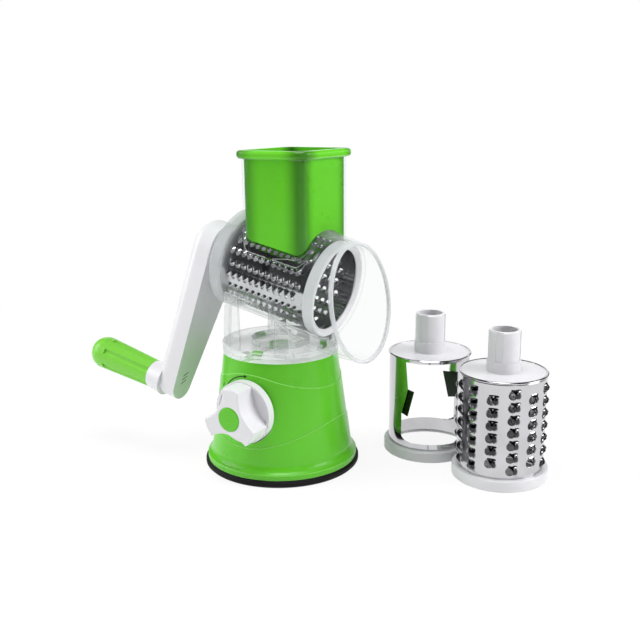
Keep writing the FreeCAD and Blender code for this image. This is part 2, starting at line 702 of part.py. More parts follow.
# spring between the rod's flange and the plate's turret
springFoot = flangeFoot + " + rodFlangeThickness + springWire / 2 + seatFit"
springRun = "(%s - turretWall - (%s) - springWire / 2 - seatFit)" % (turretTop, springFoot)
steps = 12 * int(number("springTurns"))
coils = []
for step in range(steps + 1):
    turn, lift = 2 * math.pi * step / 12, number(springFoot) + number(springRun) * step / steps
    half = number("springWire") / 2
    coils.append([Vector((number("springRadius") + u) * math.cos(turn),
                         (number("springRadius") + u) * math.sin(turn), lift + v)
                  for u, v in ((-half, 0), (0, -half), (half, 0), (0, half))])
spring = node(doc.addObject("Part::Feature", "pad_spring"))
spring.Shape = facetTube(coils)

# Suction knob, in the knob's own frame
shaft = cylinder("shaft_core", "shaftRadius", "shaftBack + knobSocket", "-shaftBack")
cam = cylinder("shaft_cam", "camRadius", "2 * camHalfLength", "-camHalfLength", "camThrow * cos(camStart)",
               "camThrow * sin(camStart)")
tapped = cylinder("shaft_tapping", "knobScrewRadius", "knobScrewLength", "knobSocket - knobScrewLength + 2")
node(alongKnob(cut("cam_shaft", fuse("shaft_and_cam", [shaft, cam]), [tapped])))

body = newBody("suction_knob")
skirtBack = "(recessDepth + faceGap + 0.1)"
turned(body, [(0, skirtBack), ("skirtRadius", skirtBack), ("skirtRadius", "skirtFront"),
              ("skirtRadius - skirtRim", "skirtFront"),
              ("skirtRadius - skirtRim", "scoopFloor"), (0, "scoopFloor")], "skirt")
# lobes: a round outline with three round hollows
scoopAway = "(scoopRadius + scoopNear)"
meet = "((%s ^ 2 + lobeRadius ^ 2 - scoopRadius ^ 2) / (2 * %s))" % (scoopAway, scoopAway)
half = "sqrt(lobeRadius ^ 2 - %s ^ 2)" % meet
lobes = []
for index in range(3):
    angle = "(scoopAngle + %d)" % (120 * index)
    for side, radius, way in (("-", "scoopRadius", -1), ("", "lobeRadius", 1)):
        lobes.append(("%s * cos%s - (%s%s) * sin%s" % (meet, angle, side, half, angle),
                      "%s * sin%s + (%s%s) * cos%s" % (meet, angle, side, half, angle), radius, way))
pad(body, outline(newSketch(body, "lobe_outline", "XY_Plane", "scoopFloor - 0.5"), lobes),
    "lobeFront - scoopFloor + 0.5", "lobes")
soften(body, "knobRound", edgesAt(body.Shape, number("lobeFront")))
turned(body, [(0, skirtBack + " - 1"), ("shaftRadius + seatFit", skirtBack + " - 1"),
              ("shaftRadius + seatFit", "knobSocket + seatFit"),
              ("knobScrewRadius + seatFit", "knobSocket + seatFit"),
              ("knobScrewRadius + seatFit", "knobSocket + 3"),
              ("knobScrewHead + 0.4", "knobSocket + 3"), ("knobScrewHead + 0.4", "lobeFront - capThickness"),
              ("capRadius + seatFit", "lobeFront - capThickness"), ("capRadius + seatFit", "lobeFront + 1"),
              (0, "lobeFront + 1")],
       "shaft_socket", "PartDesign::Groove")
node(alongKnob(body))

body = newBody("knob_screw")
turned(body, [(0, "knobSocket + 3 - knobScrewLength + 2"),
              ("knobScrewRadius - seatFit", "knobSocket + 3 - knobScrewLength + 2"),
              ("knobScrewRadius - seatFit", "knobSocket + 3 + seatFit"),
              ("knobScrewHead", "knobSocket + 3 + seatFit"),
              ("knobScrewHead", "knobSocket + 3 + 1.6"), ("knobScrewHead - 0.8", "knobSocket + 3 + 2.2"),
              (0, "knobSocket + 3 + 2.2")])
node(alongKnob(body))

body = newBody("knob_cap")
capBack = "(lobeFront - capThickness + seatFit)"
turned(body, [(0, capBack), ("capRadius", capBack), ("capRadius", "lobeFront - 0.2"),
              ("capRadius - 1", "lobeFront + 0.3"), (0, "lobeFront + 0.5")])
node(alongKnob(body))

# Clear housing
floorFoot = "(baseTop + seatFit)"
floorTop = "(%s + floorThickness)" % floorFoot
body = newBody("housing_floor")
turned(body, [("pivotRadius + runningFit", floorFoot), ("floorRadius", floorFoot),
              ("floorRadius", floorFoot + " + floorLipHeight"),
              ("floorRadius - clearWall", floorFoot + " + floorLipHeight"),
              ("floorRadius - clearWall", floorTop),
              ("pivotRadius + runningFit", floorTop)])


def sector(sketch, inner, outer, start, stop):
    at = lambda r, a: ("(%s) * cos(%s)" % (r, a), "(%s) * sin(%s)" % (r, a))
    return outline(sketch, [at(inner, start), (*at(outer, start), outer, 1), at(outer, stop),
                            (*at(inner, stop), inner, -1)])


wide = sector(newSketch(body, "hook_entry_outline", "XY_Plane", floorTop),
              "hookOuter - hookNeck - hookReach - 0.5", "hookOuter + 0.4",
              "hookStart - twistArc - hookArc / 2 - arcGap", "hookStart - twistArc + hookArc / 2 + arcGap")
entry = pocket(body, wide, "floorThickness + 1", "hook_entry")
around(body, [entry], 3, "hook_entries")
narrow = sector(newSketch(body, "hook_slot_outline", "XY_Plane", floorTop), "hookOuter - hookNeck - 0.4",
                "hookOuter + 0.4",
                "hookStart - twistArc", "hookStart + hookArc / 2 + arcGap")
slot = pocket(body, narrow, "floorThickness + 1", "hook_slot")
around(body, [slot], 3, "hook_slots")
housingFloor = body

# envelope of barrel and mouth: everything else of the housing stops at it
barrelRadius = "(barrelBore + clearWall - 0.2)"
barrelSolid = alongDrum(make("Part::Cylinder", "barrel_solid", Radius=barrelRadius,
                             Height="barrelRear + barrelFront"))
drive(barrelSolid, Placement__Base__x="drumFrontX + barrelFront * cos(drumTilt)",
      Placement__Base__z="drumFrontZ - barrelFront * sin(drumTilt)")


def alongAxis(thing, back, up=0):
    """Place a thing in the drum's frame, moved back along the axis and up across it."""
    alongDrum(thing)
    drive(thing, Placement__Base__x="drumFrontX - (%s) * cos(drumTilt) + (%s) * sin(drumTilt)" % (back, up),
          Placement__Base__z="drumFrontZ + (%s) * sin(drumTilt) + (%s) * cos(drumTilt)" % (back, up))
    return thing


def bell(name, inset):
    """Solid of the mouth: three round sections; the last is the rim."""
    start = alongAxis(make("Part::Circle", name + "_start",
                           Radius="%s - 0.6 - (%s)" % (barrelRadius, inset)), "bellStart")
    middle = alongAxis(make("Part::Circle", name + "_middle", Radius="bellRadius - (%s)" % inset),
                       "bellMiddle", "-bellDrop")
    rim = place(make("Part::Circle", name + "_rim", Radius="rimRadius - (%s)" % inset), (0, 1, 0),
                "-90 - rimTilt", "rimX", 0, "rimZ")
    loft = doc.addObject("Part::Loft", name)
    loft.Sections, loft.Solid = [start, middle, rim], True
    return loft


bellOuter, bellInner = bell("bell_outer", 0), bell("bell_inner", "clearWall - 0.1")
envelope = fuse("drum_envelope", [barrelSolid, bellOuter])

# legs: a face and a return flange, both leaning with the leg's outer edge
leg = newBody("housing_leg")
lean = [("legFootInner", floorFoot + " + 1"), ("legFootOuter", floorFoot + " + 1"),
        ("legTopOuter", "legTop"), ("legTopInner", "legTop")]
face = outline(newSketch(leg, "leg_outline", "XZ_Plane", "legFace"), lean)
pad(leg, face, "legThickness", "leg_face", reverse=True)
edge = outline(newSketch(leg, "leg_return_outline", "XZ_Plane", "legFace"),
               [("legFootOuter - legThickness", floorFoot + " + 1"), ("legFootOuter", floorFoot + " + 1"),
                ("legTopOuter", "legTop"),
                ("legTopOuter - legThickness", "legTop")])
pad(leg, edge, "legReturn", "leg_return", reverse=True)
legs = [leg]
for name, source, normal in (("leg_left", leg, Vector(1, 0, 0)), ("leg_back", leg, Vector(0, 1, 0)),
                             ("leg_back_left", "leg_left", Vector(0, 1, 0))):
    mirrored = doc.addObject("Part::Mirroring", name)
    mirrored.Source = doc.getObject(source) if isinstance(source, str) else source
    mirrored.Normal = normal
    legs.append(mirrored)
node(cut("housing_pedestal", fuse("pedestal_raw", [housingFloor] + legs), [envelope]))



def prism(name, shrink, foot, top, corner="chuteCorner"):
    """Upright round-cornered block about the chute's middle."""
    block = newBody(name)
    roundedBox(sketch=newSketch(block, name + "_outline", "XY_Plane", foot), x="chuteX",
               halfX="chuteHalfX - (%s)" % shrink,
               halfY="chuteHalfY - (%s)" % shrink, corner="%s - (%s)" % (corner, shrink))
    pad(block, block.Group[-1], "%s - (%s)" % (top, foot))
    return block


chuteOuter = prism("chute_outer", 0, "chuteFoot", "chuteTop")
chuteInner = prism("chute_inner", "chuteWall", "chuteFoot - 5", "chuteTop + 5")

body = newBody("barrel_tube")
turned(body, [("barrelBore", "-barrelFront"), (barrelRadius, "-barrelFront"),
              (barrelRadius, "barrelRear - 1"),
              (barrelRadius + " - 1", "barrelRear"), ("hubFootRadius + 0.4", "barrelRear"),
              ("hubFootRadius + 0.4", "barrelRear - rearWall - rearCollarDepth"),
              ("rearCollar", "barrelRear - rearWall - rearCollarDepth"),
              ("rearCollar", "barrelRear - rearWall"), ("barrelBore", "barrelRear - rearWall")])
alongDrum(body)
node(cut("housing_barrel", body, [chuteOuter]))

bead = newBody("rim_bead")
flat = "rimBead * tan(22.5)"
turned(bead, [("rimRadius - clearWall / 2 + %s" % u, v) for u, v in (
    ("-" + flat, "-rimBead"), (flat, "-rimBead"), ("rimBead", "-" + flat), ("rimBead", flat),
                                                                     (flat, "rimBead"),
                                                                     ("-" + flat, "rimBead"),
    ("-rimBead", flat), ("-rimBead", "-" + flat))])
place(bead, (0, 1, 0), "-90 - rimTilt", "rimX", 0, "rimZ")
node(cut("housing_mouth", fuse("mouth_raw", [cut("bell_shell", bellOuter, [bellInner]), bead]),
         [barrelSolid, chuteOuter]))

bore = alongAxis(make("Part::Cylinder", "barrel_bore", Radius="barrelBore",
                      Height="2 * chuteHalfX + hubEnd"), "-chuteHalfX - overcut")
node(cut("housing_chute", chuteOuter, [chuteInner, bore]))

# Pusher: a deep cup that hangs in the chute by its rim
play = "chuteWall + pusherPlay"
pusherTop = "(chuteTop + faceGap + pusherRimHeight)"
cupOuter = prism("cup_outer", play, "chuteFoot", pusherTop)
cupInner = prism("cup_inner", play + " + pusherWall", "chuteFoot - 5", pusherTop + " + 5")
rim = newBody("cup_rim")
roundedBox(newSketch(rim, "rim_outline", "XY_Plane", "chuteTop + faceGap"), "chuteX",
           "chuteHalfX + pusherRimReach",
           "chuteHalfY + pusherRimReach", "pusherRimCorner")
pad(rim, rim.Group[-1], "pusherRimHeight")
soften(rim, "pusherRimRound", edgesAt(rim.Shape, number(pusherTop))
       + edgesAt(rim.Shape, number("chuteTop + faceGap")))
underside = alongAxis(make("Part::Cylinder", "cup_underside", Radius="steelRadius + pusherOverDrum",
                           Height="2 * chuteHalfX + hubEnd"), "-chuteHalfX - overcut")
bottom = alongAxis(make("Part::Cylinder", "cup_floor", Radius="steelRadius + pusherOverDrum + pusherWall",
                        Height="2 * chuteHalfX + hubEnd"), "-chuteHalfX - overcut")
hollow = cut("cup_hollow", cupInner, [bottom])
node(cut("pusher", fuse("cup_raw", [cupOuter, rim]), [underside, hollow]))


# Drums, each in its own frame with the front face on z = 0
def ringOf(prefix, put):
    body = newBody(prefix + "_ring")
    seat = "(steelRadius + seatFit)"
    turned(body, [("ringMouth", 0), ("ringRadius - 0.8", 0), ("ringRadius", 0.8),
                  ("ringRadius", "ringHeight - 0.8"),
                  ("ringRadius - 0.8", "ringHeight"), (seat, "ringHeight"), (seat, "ringLip"),
                  ("steelRadius - steelThickness - 0.6", "ringLip"),
                  ("steelRadius - steelThickness - 0.6", "ringLip - 0.8")])
    node(put(body))


def tubeOf(name, length):
    body = newBody(name)
    inner = "steelRadius - steelThickness"
    turned(body, [(inner, "ringLip + seatFit"), ("steelRadius", "ringLip + seatFit"),
                  ("steelRadius", length + " - 2 * rollRadius"),
                  ("steelRadius + rollRadius", length + " - 1.4 * rollRadius"),
                  ("steelRadius + rollRadius", length + " - 0.6 * rollRadius"),
                  ("steelRadius + 0.4 * rollRadius", length), (inner, length)])
    return body


def capOf(prefix, length, put):
    body = newBody(prefix + "_cap")
    edge = "(steelRadius - steelThickness - seatFit)"
    low, high = "(%s - capDiscThickness)" % length, "(%s - 0.4)" % length
    turned(body, [("hubBore", low), (edge, low), (edge, high), ("hubFootRadius", high),
                  ("hubFootRadius", high + " + hubFootHeight"),
                  ("hubRadius", high + " + hubFootHeight"), ("hubRadius", "hubEnd - 1"),
                  ("hubRadius - 1", "hubEnd"), ("hubBore", "hubEnd")])
    near, away, side = "hubRadius - hubGrooveDepth", "hubRadius + overcut", "hubGrooveWidth / 2"
    groove = outline(newSketch(body, "hub_groove_outline", "XY_Plane", "hubEnd"),
                     [(near, "-" + side), (away, "-" + side), (away, side), (near, side)])
    around(body, [pocket(body, groove, "hubEnd - %s - hubFootHeight" % high, "hub_groove")], "hubGrooves",
           "hub_grooves")
    node(put(body))


def pyramid(base, apex):
    """Solid from a base outline and a tip."""
    return solidOf([base] + [[point, base[(index + 1) % len(base)], apex] for index,
                             point in enumerate(base)])


def onDrum(angle, height, turn):
    """A frame on the steel: first axis along turn (degrees from level), second across, third outwards."""
    a, t = math.radians(angle), math.radians(turn)
    out, level, up = Vector(math.cos(a), math.sin(a), 0), Vector(-math.sin(a), math.cos(a), 0), Vector(0, 0,
                                                                                                       1)
    along = level * math.cos(t) + up * math.sin(t)
    across = out.cross(along)
    foot = out * number("steelRadius") + up * height
    return lambda u, v, w: foot + along * u + across * v + out * w


def shaped(name, shape):
    """A shape worked out in code, in the drum's own frame."""
    thing = doc.addObject("Part::Feature", name)
    thing.Label = name
    thing.Shape = shape
    return thing


# fine drum in the barrel: rows of small prongs
tube = tubeOf("drum_tube", "drumLength")
doc.recompute()
size = {name: number(name) for name in ("toothRows", "teethPerRow", "toothPitch", "firstTooth", "toothTurn",
                                        "toothHeight", "toothLength",
                                        "toothWidth", "holeColumns", "holesPerColumn", "holePitch",
                                        "firstHole", "holeTurn", "holeReach",
                                        "hoodLean", "hoodLength", "hoodHalfWidth", "hoodHeight", "hoodWall",
                                        "steelThickness")}
prongs = []
for row in range(int(size["toothRows"])):
    for tooth in range(int(size["teethPerRow"])):
        height = size["firstTooth"] + (tooth + 0.5 * (row % 2)) * size["toothPitch"]
        at = onDrum(size["toothTurn"] + 360 * row / size["toothRows"], height, 0)
        length, width = size["toothLength"], size["toothWidth"]
        base = [at(-length / 2, 0, -0.3), at(length / 2 - 0.8, -width / 2, -0.3),
                at(length / 2 - 0.8, width / 2, -0.3)]
        prongs.append(pyramid(base, at(length / 2 - 0.4, 0, size["toothHeight"])))
node(alongDrum(shaped("drum_cylinder", tube.Shape.fuse(prongs))))
ringOf("drum", alongDrum)
capOf("drum", "drumLength", alongDrum)

# coarse drum on the table: hooded holes
standShredder = lambda thing: place(thing, (0, 0, 1), 0, "shredderX", "shredderY", 0)
tube = tubeOf("shredder_tube", "spareLength")
doc.recompute()
cuts, hoods = [], []
for column in range(int(size["holeColumns"])):
    odd = column % 2
    for hole in range(int(size["holesPerColumn"]) - odd):
        height = size["firstHole"] + (hole + 0.5 * odd) * size["holePitch"]
        at = onDrum(size["holeTurn"] + 360 * column / size["holeColumns"], height, size["hoodLean"])
        low, w = -2 * size["steelThickness"], size["hoodHalfWidth"]
        h, wall = size["hoodHeight"], size["hoodWall"]
        foot = -size["steelThickness"] / 2
        hoods.append(pyramid([at(0, -w, foot), at(0, 0, h), at(0, w, foot)], at(size["hoodLength"], 0, foot)))
        # under the hood and before it the steel is open
        mouth = [at(0, wall - w, low), at(0, 0, h - wall), at(0, w - wall, low)]
        cuts += [pyramid(mouth, at(size["hoodLength"] - 2 * wall, 0, low)),
                 pyramid(mouth, at(-size["holeReach"] - 1, 0, low))]
grater = tube.Shape.fuse(hoods).cut(Part.makeCompound(cuts))
node(standShredder(shaped("shredder_cylinder", grater)))
ringOf("shredder", standShredder)
capOf("shredder", "spareLength", standShredder)

# slicing drum on the table: two windows, a blade along one side of each
standSlicer = lambda thing: place(thing, (0, 0, 1), 0, "slicerX", "slicerY", 0)
tube = tubeOf("slicer_tube", "spareLength")
windows, blades = [], []
for half in (0, 180):
    window = newBody("window_%d" % (half / 180 + 1))
    opening = outline(newSketch(window, "window_outline_%d" % (half / 180 + 1), "XZ_Plane"),
                      [("-windowHalf", "windowLow"), ("windowHalf", "windowLow"),
                       ("windowHalf", "windowHigh"),
                       ("-windowTop", "windowHigh"), ("-windowNotch", "bladeHigh"),
                       ("-windowHalf", "bladeLow")])
    pad(window, opening, "steelRadius + overcut")
    soften(window, "windowCorner", ["Edge%d" % (i + 1) for i, e in enumerate(window.Shape.Edges)
                                    if all(abs(v.Point.z - number("windowLow")) < 1e-4 for v in e.Vertexes)
                                    and abs(e.Vertexes[0].Point.y - e.Vertexes[1].Point.y) > 5])
    windows.append(place(window, (0, 0, 1), "windowTurn + %d" % half))
    # flat blade: a chord under the steel, out through the window along its slanted side
    blade = newBody("blade_%d" % (half / 180 + 1))
    slanted = ("(steelRadius * (asin(windowHalf / steelRadius) - asin(windowNotch / steelRadius))"
               " / 1deg * pi / 180)")
    seated = "((%s + bladeSeat) / 2)" % slanted
    inner = "(steelRadius - steelThickness)"
    form = outline(newSketch(blade, "blade_outline_%d" % (half / 180 + 1), "XZ_Plane",
                             "sqrt(%s ^ 2 - %s ^ 2) - 0.1" % (inner, seated)),
                   [("-" + seated, "bladeLow"), ("bladeSeat + bladeReach - " + seated,
                                                 "bladeLow - bladeSlant"),
                    (seated + " + bladeReach", "bladeHigh - bladeSlant"), ("-" + seated, "bladeHigh")])
    pad(blade, form, "steelThickness - 0.1", reverse=True)
    seatTurn = "(%s - bladeSeat) / 2 / steelRadius * 180 / pi" % slanted
    blades.append(place(blade, (0, 0, 1), "windowTurn - asin(windowHalf / steelRadius) / 1deg + %s + %d"
                        % (seatTurn, half)))
node(standSlicer(cut("slicer_cylinder", tube, windows)))
node(standSlicer(group("slicer_blades", blades)))
ringOf("slicer", standSlicer)
capOf("slicer", "spareLength", standSlicer)

# Crank, in the drum's frame
armRear = "(armFront + armDepth)"
endX, endY = "-armLength * cos(armLean)", "-armLength * sin(armLean)"
hollowRear = "(%s - armRearWall)" % armRear
body = newBody("arm_shell")
pad(body, capsule(newSketch(body, "arm_outline", "XY_Plane", "armFront"), "armHub", "armEnd", "armLength",
                  "armLean"), "armDepth")
soften(body, "armRound", edgesAt(body.Shape, number(armRear)))
inner = capsule(newSketch(body, "arm_hollow_outline", "XY_Plane", "armFront"), "armHub - armWall",
                "armEnd - armWall", "armLength", "armLean")
pocket(body, inner, "armDepth - armRearWall - 4", "arm_hollow", reverse=True)
coverSeat = capsule(newSketch(body, "cover_seat_outline", "XY_Plane", "armFront"), "armHub - coverInset",
                    "armEnd - coverInset", "armLength", "armLean")
pocket(body, coverSeat, "coverThickness + seatFit", "cover_seat", reverse=True)
neck = cylinder("arm_neck", "neckRadius", hollowRear + " - barrelRear - 0.5", "barrelRear + 0.5")
stubBoss = cylinder("stub_boss", "axleRadius + 3.4", "%s - armFront - coverThickness - 0.5" % hollowRear,
                    "armFront + coverThickness + 0.5", endX, endY)
stub = make("Part::Cone", "arm_stub", Radius1="stubRadius", Radius2="gripStartRadius",
            Height="stubEnd - %s + 5" % armRear)
drive(stub, Placement__Base__x=endX, Placement__Base__y=endY, Placement__Base__z=armRear + " - 5")
socket = cylinder("hub_socket", "hubRadius + runningFit", "hubEnd + 1 - barrelRear", "barrelRear")
hubFootTop = "(drumLength - 0.4 + hubFootHeight)"
counterbore = cylinder("hub_foot_socket", "hubFootRadius + runningFit",
                       "%s + faceGap - barrelRear" % hubFootTop, "barrelRear")
axleBore = cylinder("axle_bore", "axleRadius + seatFit", "stubEnd - armFront",
                    "armFront + coverThickness + 2", endX, endY)
arm = cut("crank_arm", fuse("arm_joined", [body, neck, stubBoss, stub]), [socket, counterbore, axleBore])
node(alongDrum(arm))

body = newBody("crank_cover")
lid = capsule(newSketch(body, "cover_outline", "XY_Plane", "armFront + 0.1"),
              "armHub - coverInset - seatFit", "armEnd - coverInset - seatFit",
              "armLength", "armLean")
pad(body, lid, "coverThickness - 0.1")
marks = newSketch(body, "mark_outline", "XY_Plane", "armFront + 0.1")
for index in range(3):
    away = "(armLength - 3 - %d * 3.4)" % index
    at = lambda u, v: ("-(%s) * cos(armLean) + (%s) * sin(armLean)" % (u, v),
                       "-(%s) * sin(armLean) - (%s) * cos(armLean)" % (u, v))
    skew = "markLength / 3"
    outline(marks, [at(away + " - " + skew, "-markLength / 2"),
                    at(away + " - markWidth - " + skew, "-markLength / 2"),
                    at(away + " - markWidth + " + skew, "markLength / 2"),
                    at(away + " + " + skew, "markLength / 2")])
pocket(body, marks, "markDepth", "marks", reverse=True)
hole = circle(newSketch(body, "neck_hole_outline", "XY_Plane", "armFront"), 0, 0, "neckRadius + seatFit")
pocket(body, hole, "coverThickness + 1", "neck_hole", reverse=True)
node(alongDrum(body))

# grip and its axle, in a frame at the arm's end
def atGrip(thing):
    alongDrum(thing)
    drive(thing, Placement__Base__x="drumFrontX - armLength * cos(armLean) * sin(drumTilt)",
          Placement__Base__y="-armLength * sin(armLean)",
          Placement__Base__z="drumFrontZ - armLength * cos(armLean) * cos(drumTilt)")
    return thing


gripFoot = "(stubEnd + faceGap)"
headFoot = "(stubEnd + axleReach)"
body = newBody("grip_axle")
turned(body, [(0, "armFront + coverThickness + 2.5"), ("axleRadius", "armFront + coverThickness + 2.5"),
              ("axleRadius", headFoot),
              ("axleHead", headFoot), ("axleHead", headFoot + " + axleHeadLength"),
              (0, headFoot + " + axleHeadLength")])
node(atGrip(body))

body = newBody("grip_form")
gripEnd = "(%s + gripLength)" % gripFoot
bore, chamber = "axleRadius + runningFit", "axleHead + faceGap"
turned(body, [
    (bore, gripFoot), ("gripStartRadius", gripFoot), ("gripEndRadius", gripEnd, "gripEndRadius", 1),
    (0, gripEnd + " + gripEndRadius"), (0, headFoot + " + axleHeadLength + 2"),
              (chamber, headFoot + " + axleHeadLength + 2"),
    (chamber, headFoot + " - faceGap"), (bore, headFoot + " - faceGap")])
flutes = []
for index in range(int(number("fluteCount"))):
    angle = 360 / number("fluteCount") * index
    flute = make("Part::Cylinder", "flute_%d" % (index + 1), Radius="fluteRadius", Height="fluteLength + 2")
    a = math.radians(angle)
    away = "(gripStartRadius + fluteRadius - fluteDepth)"
    flutes.append(place(flute, (-math.sin(a), math.cos(a), 0),
                        "atan((gripEndRadius - gripStartRadius) / gripLength)",
                        "%s * cos(%g)" % (away, angle), "%s * sin(%g)" % (away, angle), gripFoot + " - 2"))
node(atGrip(cut("grip", body, [group("flutes", flutes)])))

# Check and write
doc.recompute()
for thing in doc.Objects:
    if "Invalid" in thing.State or "Error" in thing.State:
        raise ValueError("%s is in state %s" % (thing.Label, thing.State))
for thing in nodes:
    if thing.Shape.isNull() or not thing.Shape.isValid():
        raise ValueError("%s has no valid shape" % thing.Label)
total = 0
for thing in nodes:
    solid = thing.Shape
    solid.exportStep("parts/%s.step" % thing.Label)
    box = solid.BoundBox
    print("%-20s solids %d  x %.1f..%.1f  y %.1f..%.1f  z %.1f..%.1f" % (
        thing.Label, len(solid.Solids), box.XMin, box.XMax, box.YMin, box.YMax, box.ZMin, box.ZMax))
print("%d nodes" % len(nodes))
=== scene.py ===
import json
import math

import bmesh
import bpy
import numpy as np
from mathutils import Matrix, Vector


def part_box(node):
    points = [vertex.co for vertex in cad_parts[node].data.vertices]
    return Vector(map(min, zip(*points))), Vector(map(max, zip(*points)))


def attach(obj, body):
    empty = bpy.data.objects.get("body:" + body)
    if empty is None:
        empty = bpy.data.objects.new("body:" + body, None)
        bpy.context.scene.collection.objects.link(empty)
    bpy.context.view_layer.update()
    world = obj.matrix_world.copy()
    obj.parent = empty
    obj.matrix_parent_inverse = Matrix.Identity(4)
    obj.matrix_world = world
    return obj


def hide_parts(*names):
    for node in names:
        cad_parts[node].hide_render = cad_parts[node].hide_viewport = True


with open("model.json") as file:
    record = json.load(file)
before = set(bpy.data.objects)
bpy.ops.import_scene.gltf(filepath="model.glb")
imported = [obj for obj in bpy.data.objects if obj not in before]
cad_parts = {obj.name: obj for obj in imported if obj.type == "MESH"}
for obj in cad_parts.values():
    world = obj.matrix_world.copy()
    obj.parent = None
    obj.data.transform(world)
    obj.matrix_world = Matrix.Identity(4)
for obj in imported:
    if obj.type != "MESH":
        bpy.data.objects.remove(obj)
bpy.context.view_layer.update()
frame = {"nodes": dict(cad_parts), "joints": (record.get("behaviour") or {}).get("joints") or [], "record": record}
nodes = frame["nodes"]
scene = bpy.context.scene


# shader arithmetic

noiseLow, noiseHigh = 0.3, 0.7          # most of a noise lies between these


class Wire:
    # one output socket of a material's node tree, with arithmetic on it
    def __init__(self, tree, socket=None):
        self.tree, self.socket = tree, socket

    def node(self, kind, settings=None, values=None, output=0):
        # a new node: settings are its properties, values go to its sockets by name or number
        made = self.tree.nodes.new(kind)
        for name, value in (settings or {}).items():
            setattr(made, name, value)
        for name, value in (values or {}).items():
            if isinstance(value, Wire):
                self.tree.links.new(value.socket, made.inputs[name])
            else:
                made.inputs[name].default_value = value
        return Wire(self.tree, made.outputs[output])

    def maths(self, operation, a, b=0.0):
        return self.node("ShaderNodeMath", {"operation": operation}, {0: a, 1: b})

    def vector(self, operation, a, b=(0, 0, 0)):
        # lengths and products are numbers, which come from the node's second output
        output = 1 if operation in ("DOT_PRODUCT", "DISTANCE", "LENGTH") else 0
        return self.node("ShaderNodeVectorMath", {"operation": operation}, {0: a, 1: b}, output)

    def __add__(self, other):
        return self.maths("ADD", self, other)

    def __radd__(self, other):
        return self.maths("ADD", other, self)

    def __sub__(self, other):
        return self.maths("SUBTRACT", self, other)

    def __rsub__(self, other):
        return self.maths("SUBTRACT", other, self)

    def __mul__(self, other):
        return self.maths("MULTIPLY", self, other)

    def __rmul__(self, other):
        return self.maths("MULTIPLY", other, self)

    def __pow__(self, other):
        return self.maths("POWER", self, other)

    def ramp(self, low, high, outLow=0.0, outHigh=1.0):
        # smooth step from low to high
        return self.node("ShaderNodeMapRange", {"interpolation_type": "SMOOTHSTEP"},
                         {"Value": self, "From Min": low, "From Max": high,
                          "To Min": outLow, "To Max": outHigh})

    def mixColour(self, first, second):
        # this wire is the share of the second colour
        return self.node("ShaderNodeMix", {"data_type": "RGBA"}, {0: self, 6: first, 7: second}, 2)


def rgba(colour):
    return (*colour, 1)


def newMaterial(name):
    # an empty material, a wire in its tree and the part's own coordinates in metres
    material = bpy.data.materials.new(name)
    material.use_nodes = True
    tree = material.node_tree
    tree.nodes.clear()
    wire = Wire(tree)
    place = wire.node("ShaderNodeTexCoord", output=3)
    return material, wire, place


def finish(material, shader):
    output = material.node_tree.nodes.new("ShaderNodeOutputMaterial")
    material.node_tree.links.new(shader.socket, output.inputs["Surface"])
    return material


def noise(wire, place, scale, detail, stretch=(1, 1, 1)):
    # scale is the number of blobs per metre
    at = wire.node("ShaderNodeMapping", values={"Vector": place, "Scale": stretch})
    return wire.node("ShaderNodeTexNoise", values={"Vector": at, "Scale": scale, "Detail": detail})


def bump(wire, height, distance, strength):
    return wire.node("ShaderNodeBump", values={"Height": height, "Distance": distance, "Strength": strength})


def sharpMask(wire, width, low, high):
    # 1 along sharp edges, within the width, and 0 on smooth faces
    rounded = wire.node("ShaderNodeBevel", {"samples": 4}, {"Radius": width})
    plain = wire.node("ShaderNodeNewGeometry", output=1)
    return (1 - wire.vector("DOT_PRODUCT", rounded, plain)).ramp(low, high)


def cornerShadeMask(wire, place, corner):
    # painted shade: the corner's share on the upright edges of a block, falling to 0 at the corner's reach
    flatPlace = wire.node("ShaderNodeMapping", values={"Vector": place, "Scale": (1, 1, 0)})
    across = wire.vector("ABSOLUTE", wire.vector("SUBTRACT", flatPlace, corner["middle"]))
    return wire.vector("DISTANCE", across, corner["half"]).ramp(corner["reach"], 0.0, 0.0, corner["share"])


def plastic(name, look, corner=None):
    # moulded plastic: faint flow marks in the colour, soft wear in the gloss and a fine orange peel;
    # some have painted shade towards upright corners, others a pale painted highlight along sharp edges
    material, wire, place = newMaterial(name)
    flow = noise(wire, place, look["flowScale"], 4)
    peel = noise(wire, place, look["peelScale"], 2)
    colour = flow.ramp(noiseLow, noiseHigh).mixColour(rgba(look["colour"]), rgba(look["shade"]))
    if corner:
        # painted shade towards the upright corners
        colour = cornerShadeMask(wire, place, corner).mixColour(colour, rgba(corner["colour"]))
    # painted highlight: a paler line along sharp edges, where the ledges catch the light
    if "edgeColour" in look:
        colour = sharpMask(wire, look["edgeWidth"], 0.01, 0.12).mixColour(colour, rgba(look["edgeColour"]))
    rough = flow.ramp(0.25, 0.75, look["roughness"] * 0.85, look["roughness"] * 1.2)
    shader = wire.node("ShaderNodeBsdfPrincipled", values={
        "Base Color": colour, "Roughness": rough, "IOR": look["ior"],
        "Coat Weight": look["coat"], "Coat Roughness": look["coatRoughness"],
        "Normal": bump(wire, peel, look["peelDepth"], look["peelStrength"])})
    return finish(material, shader)


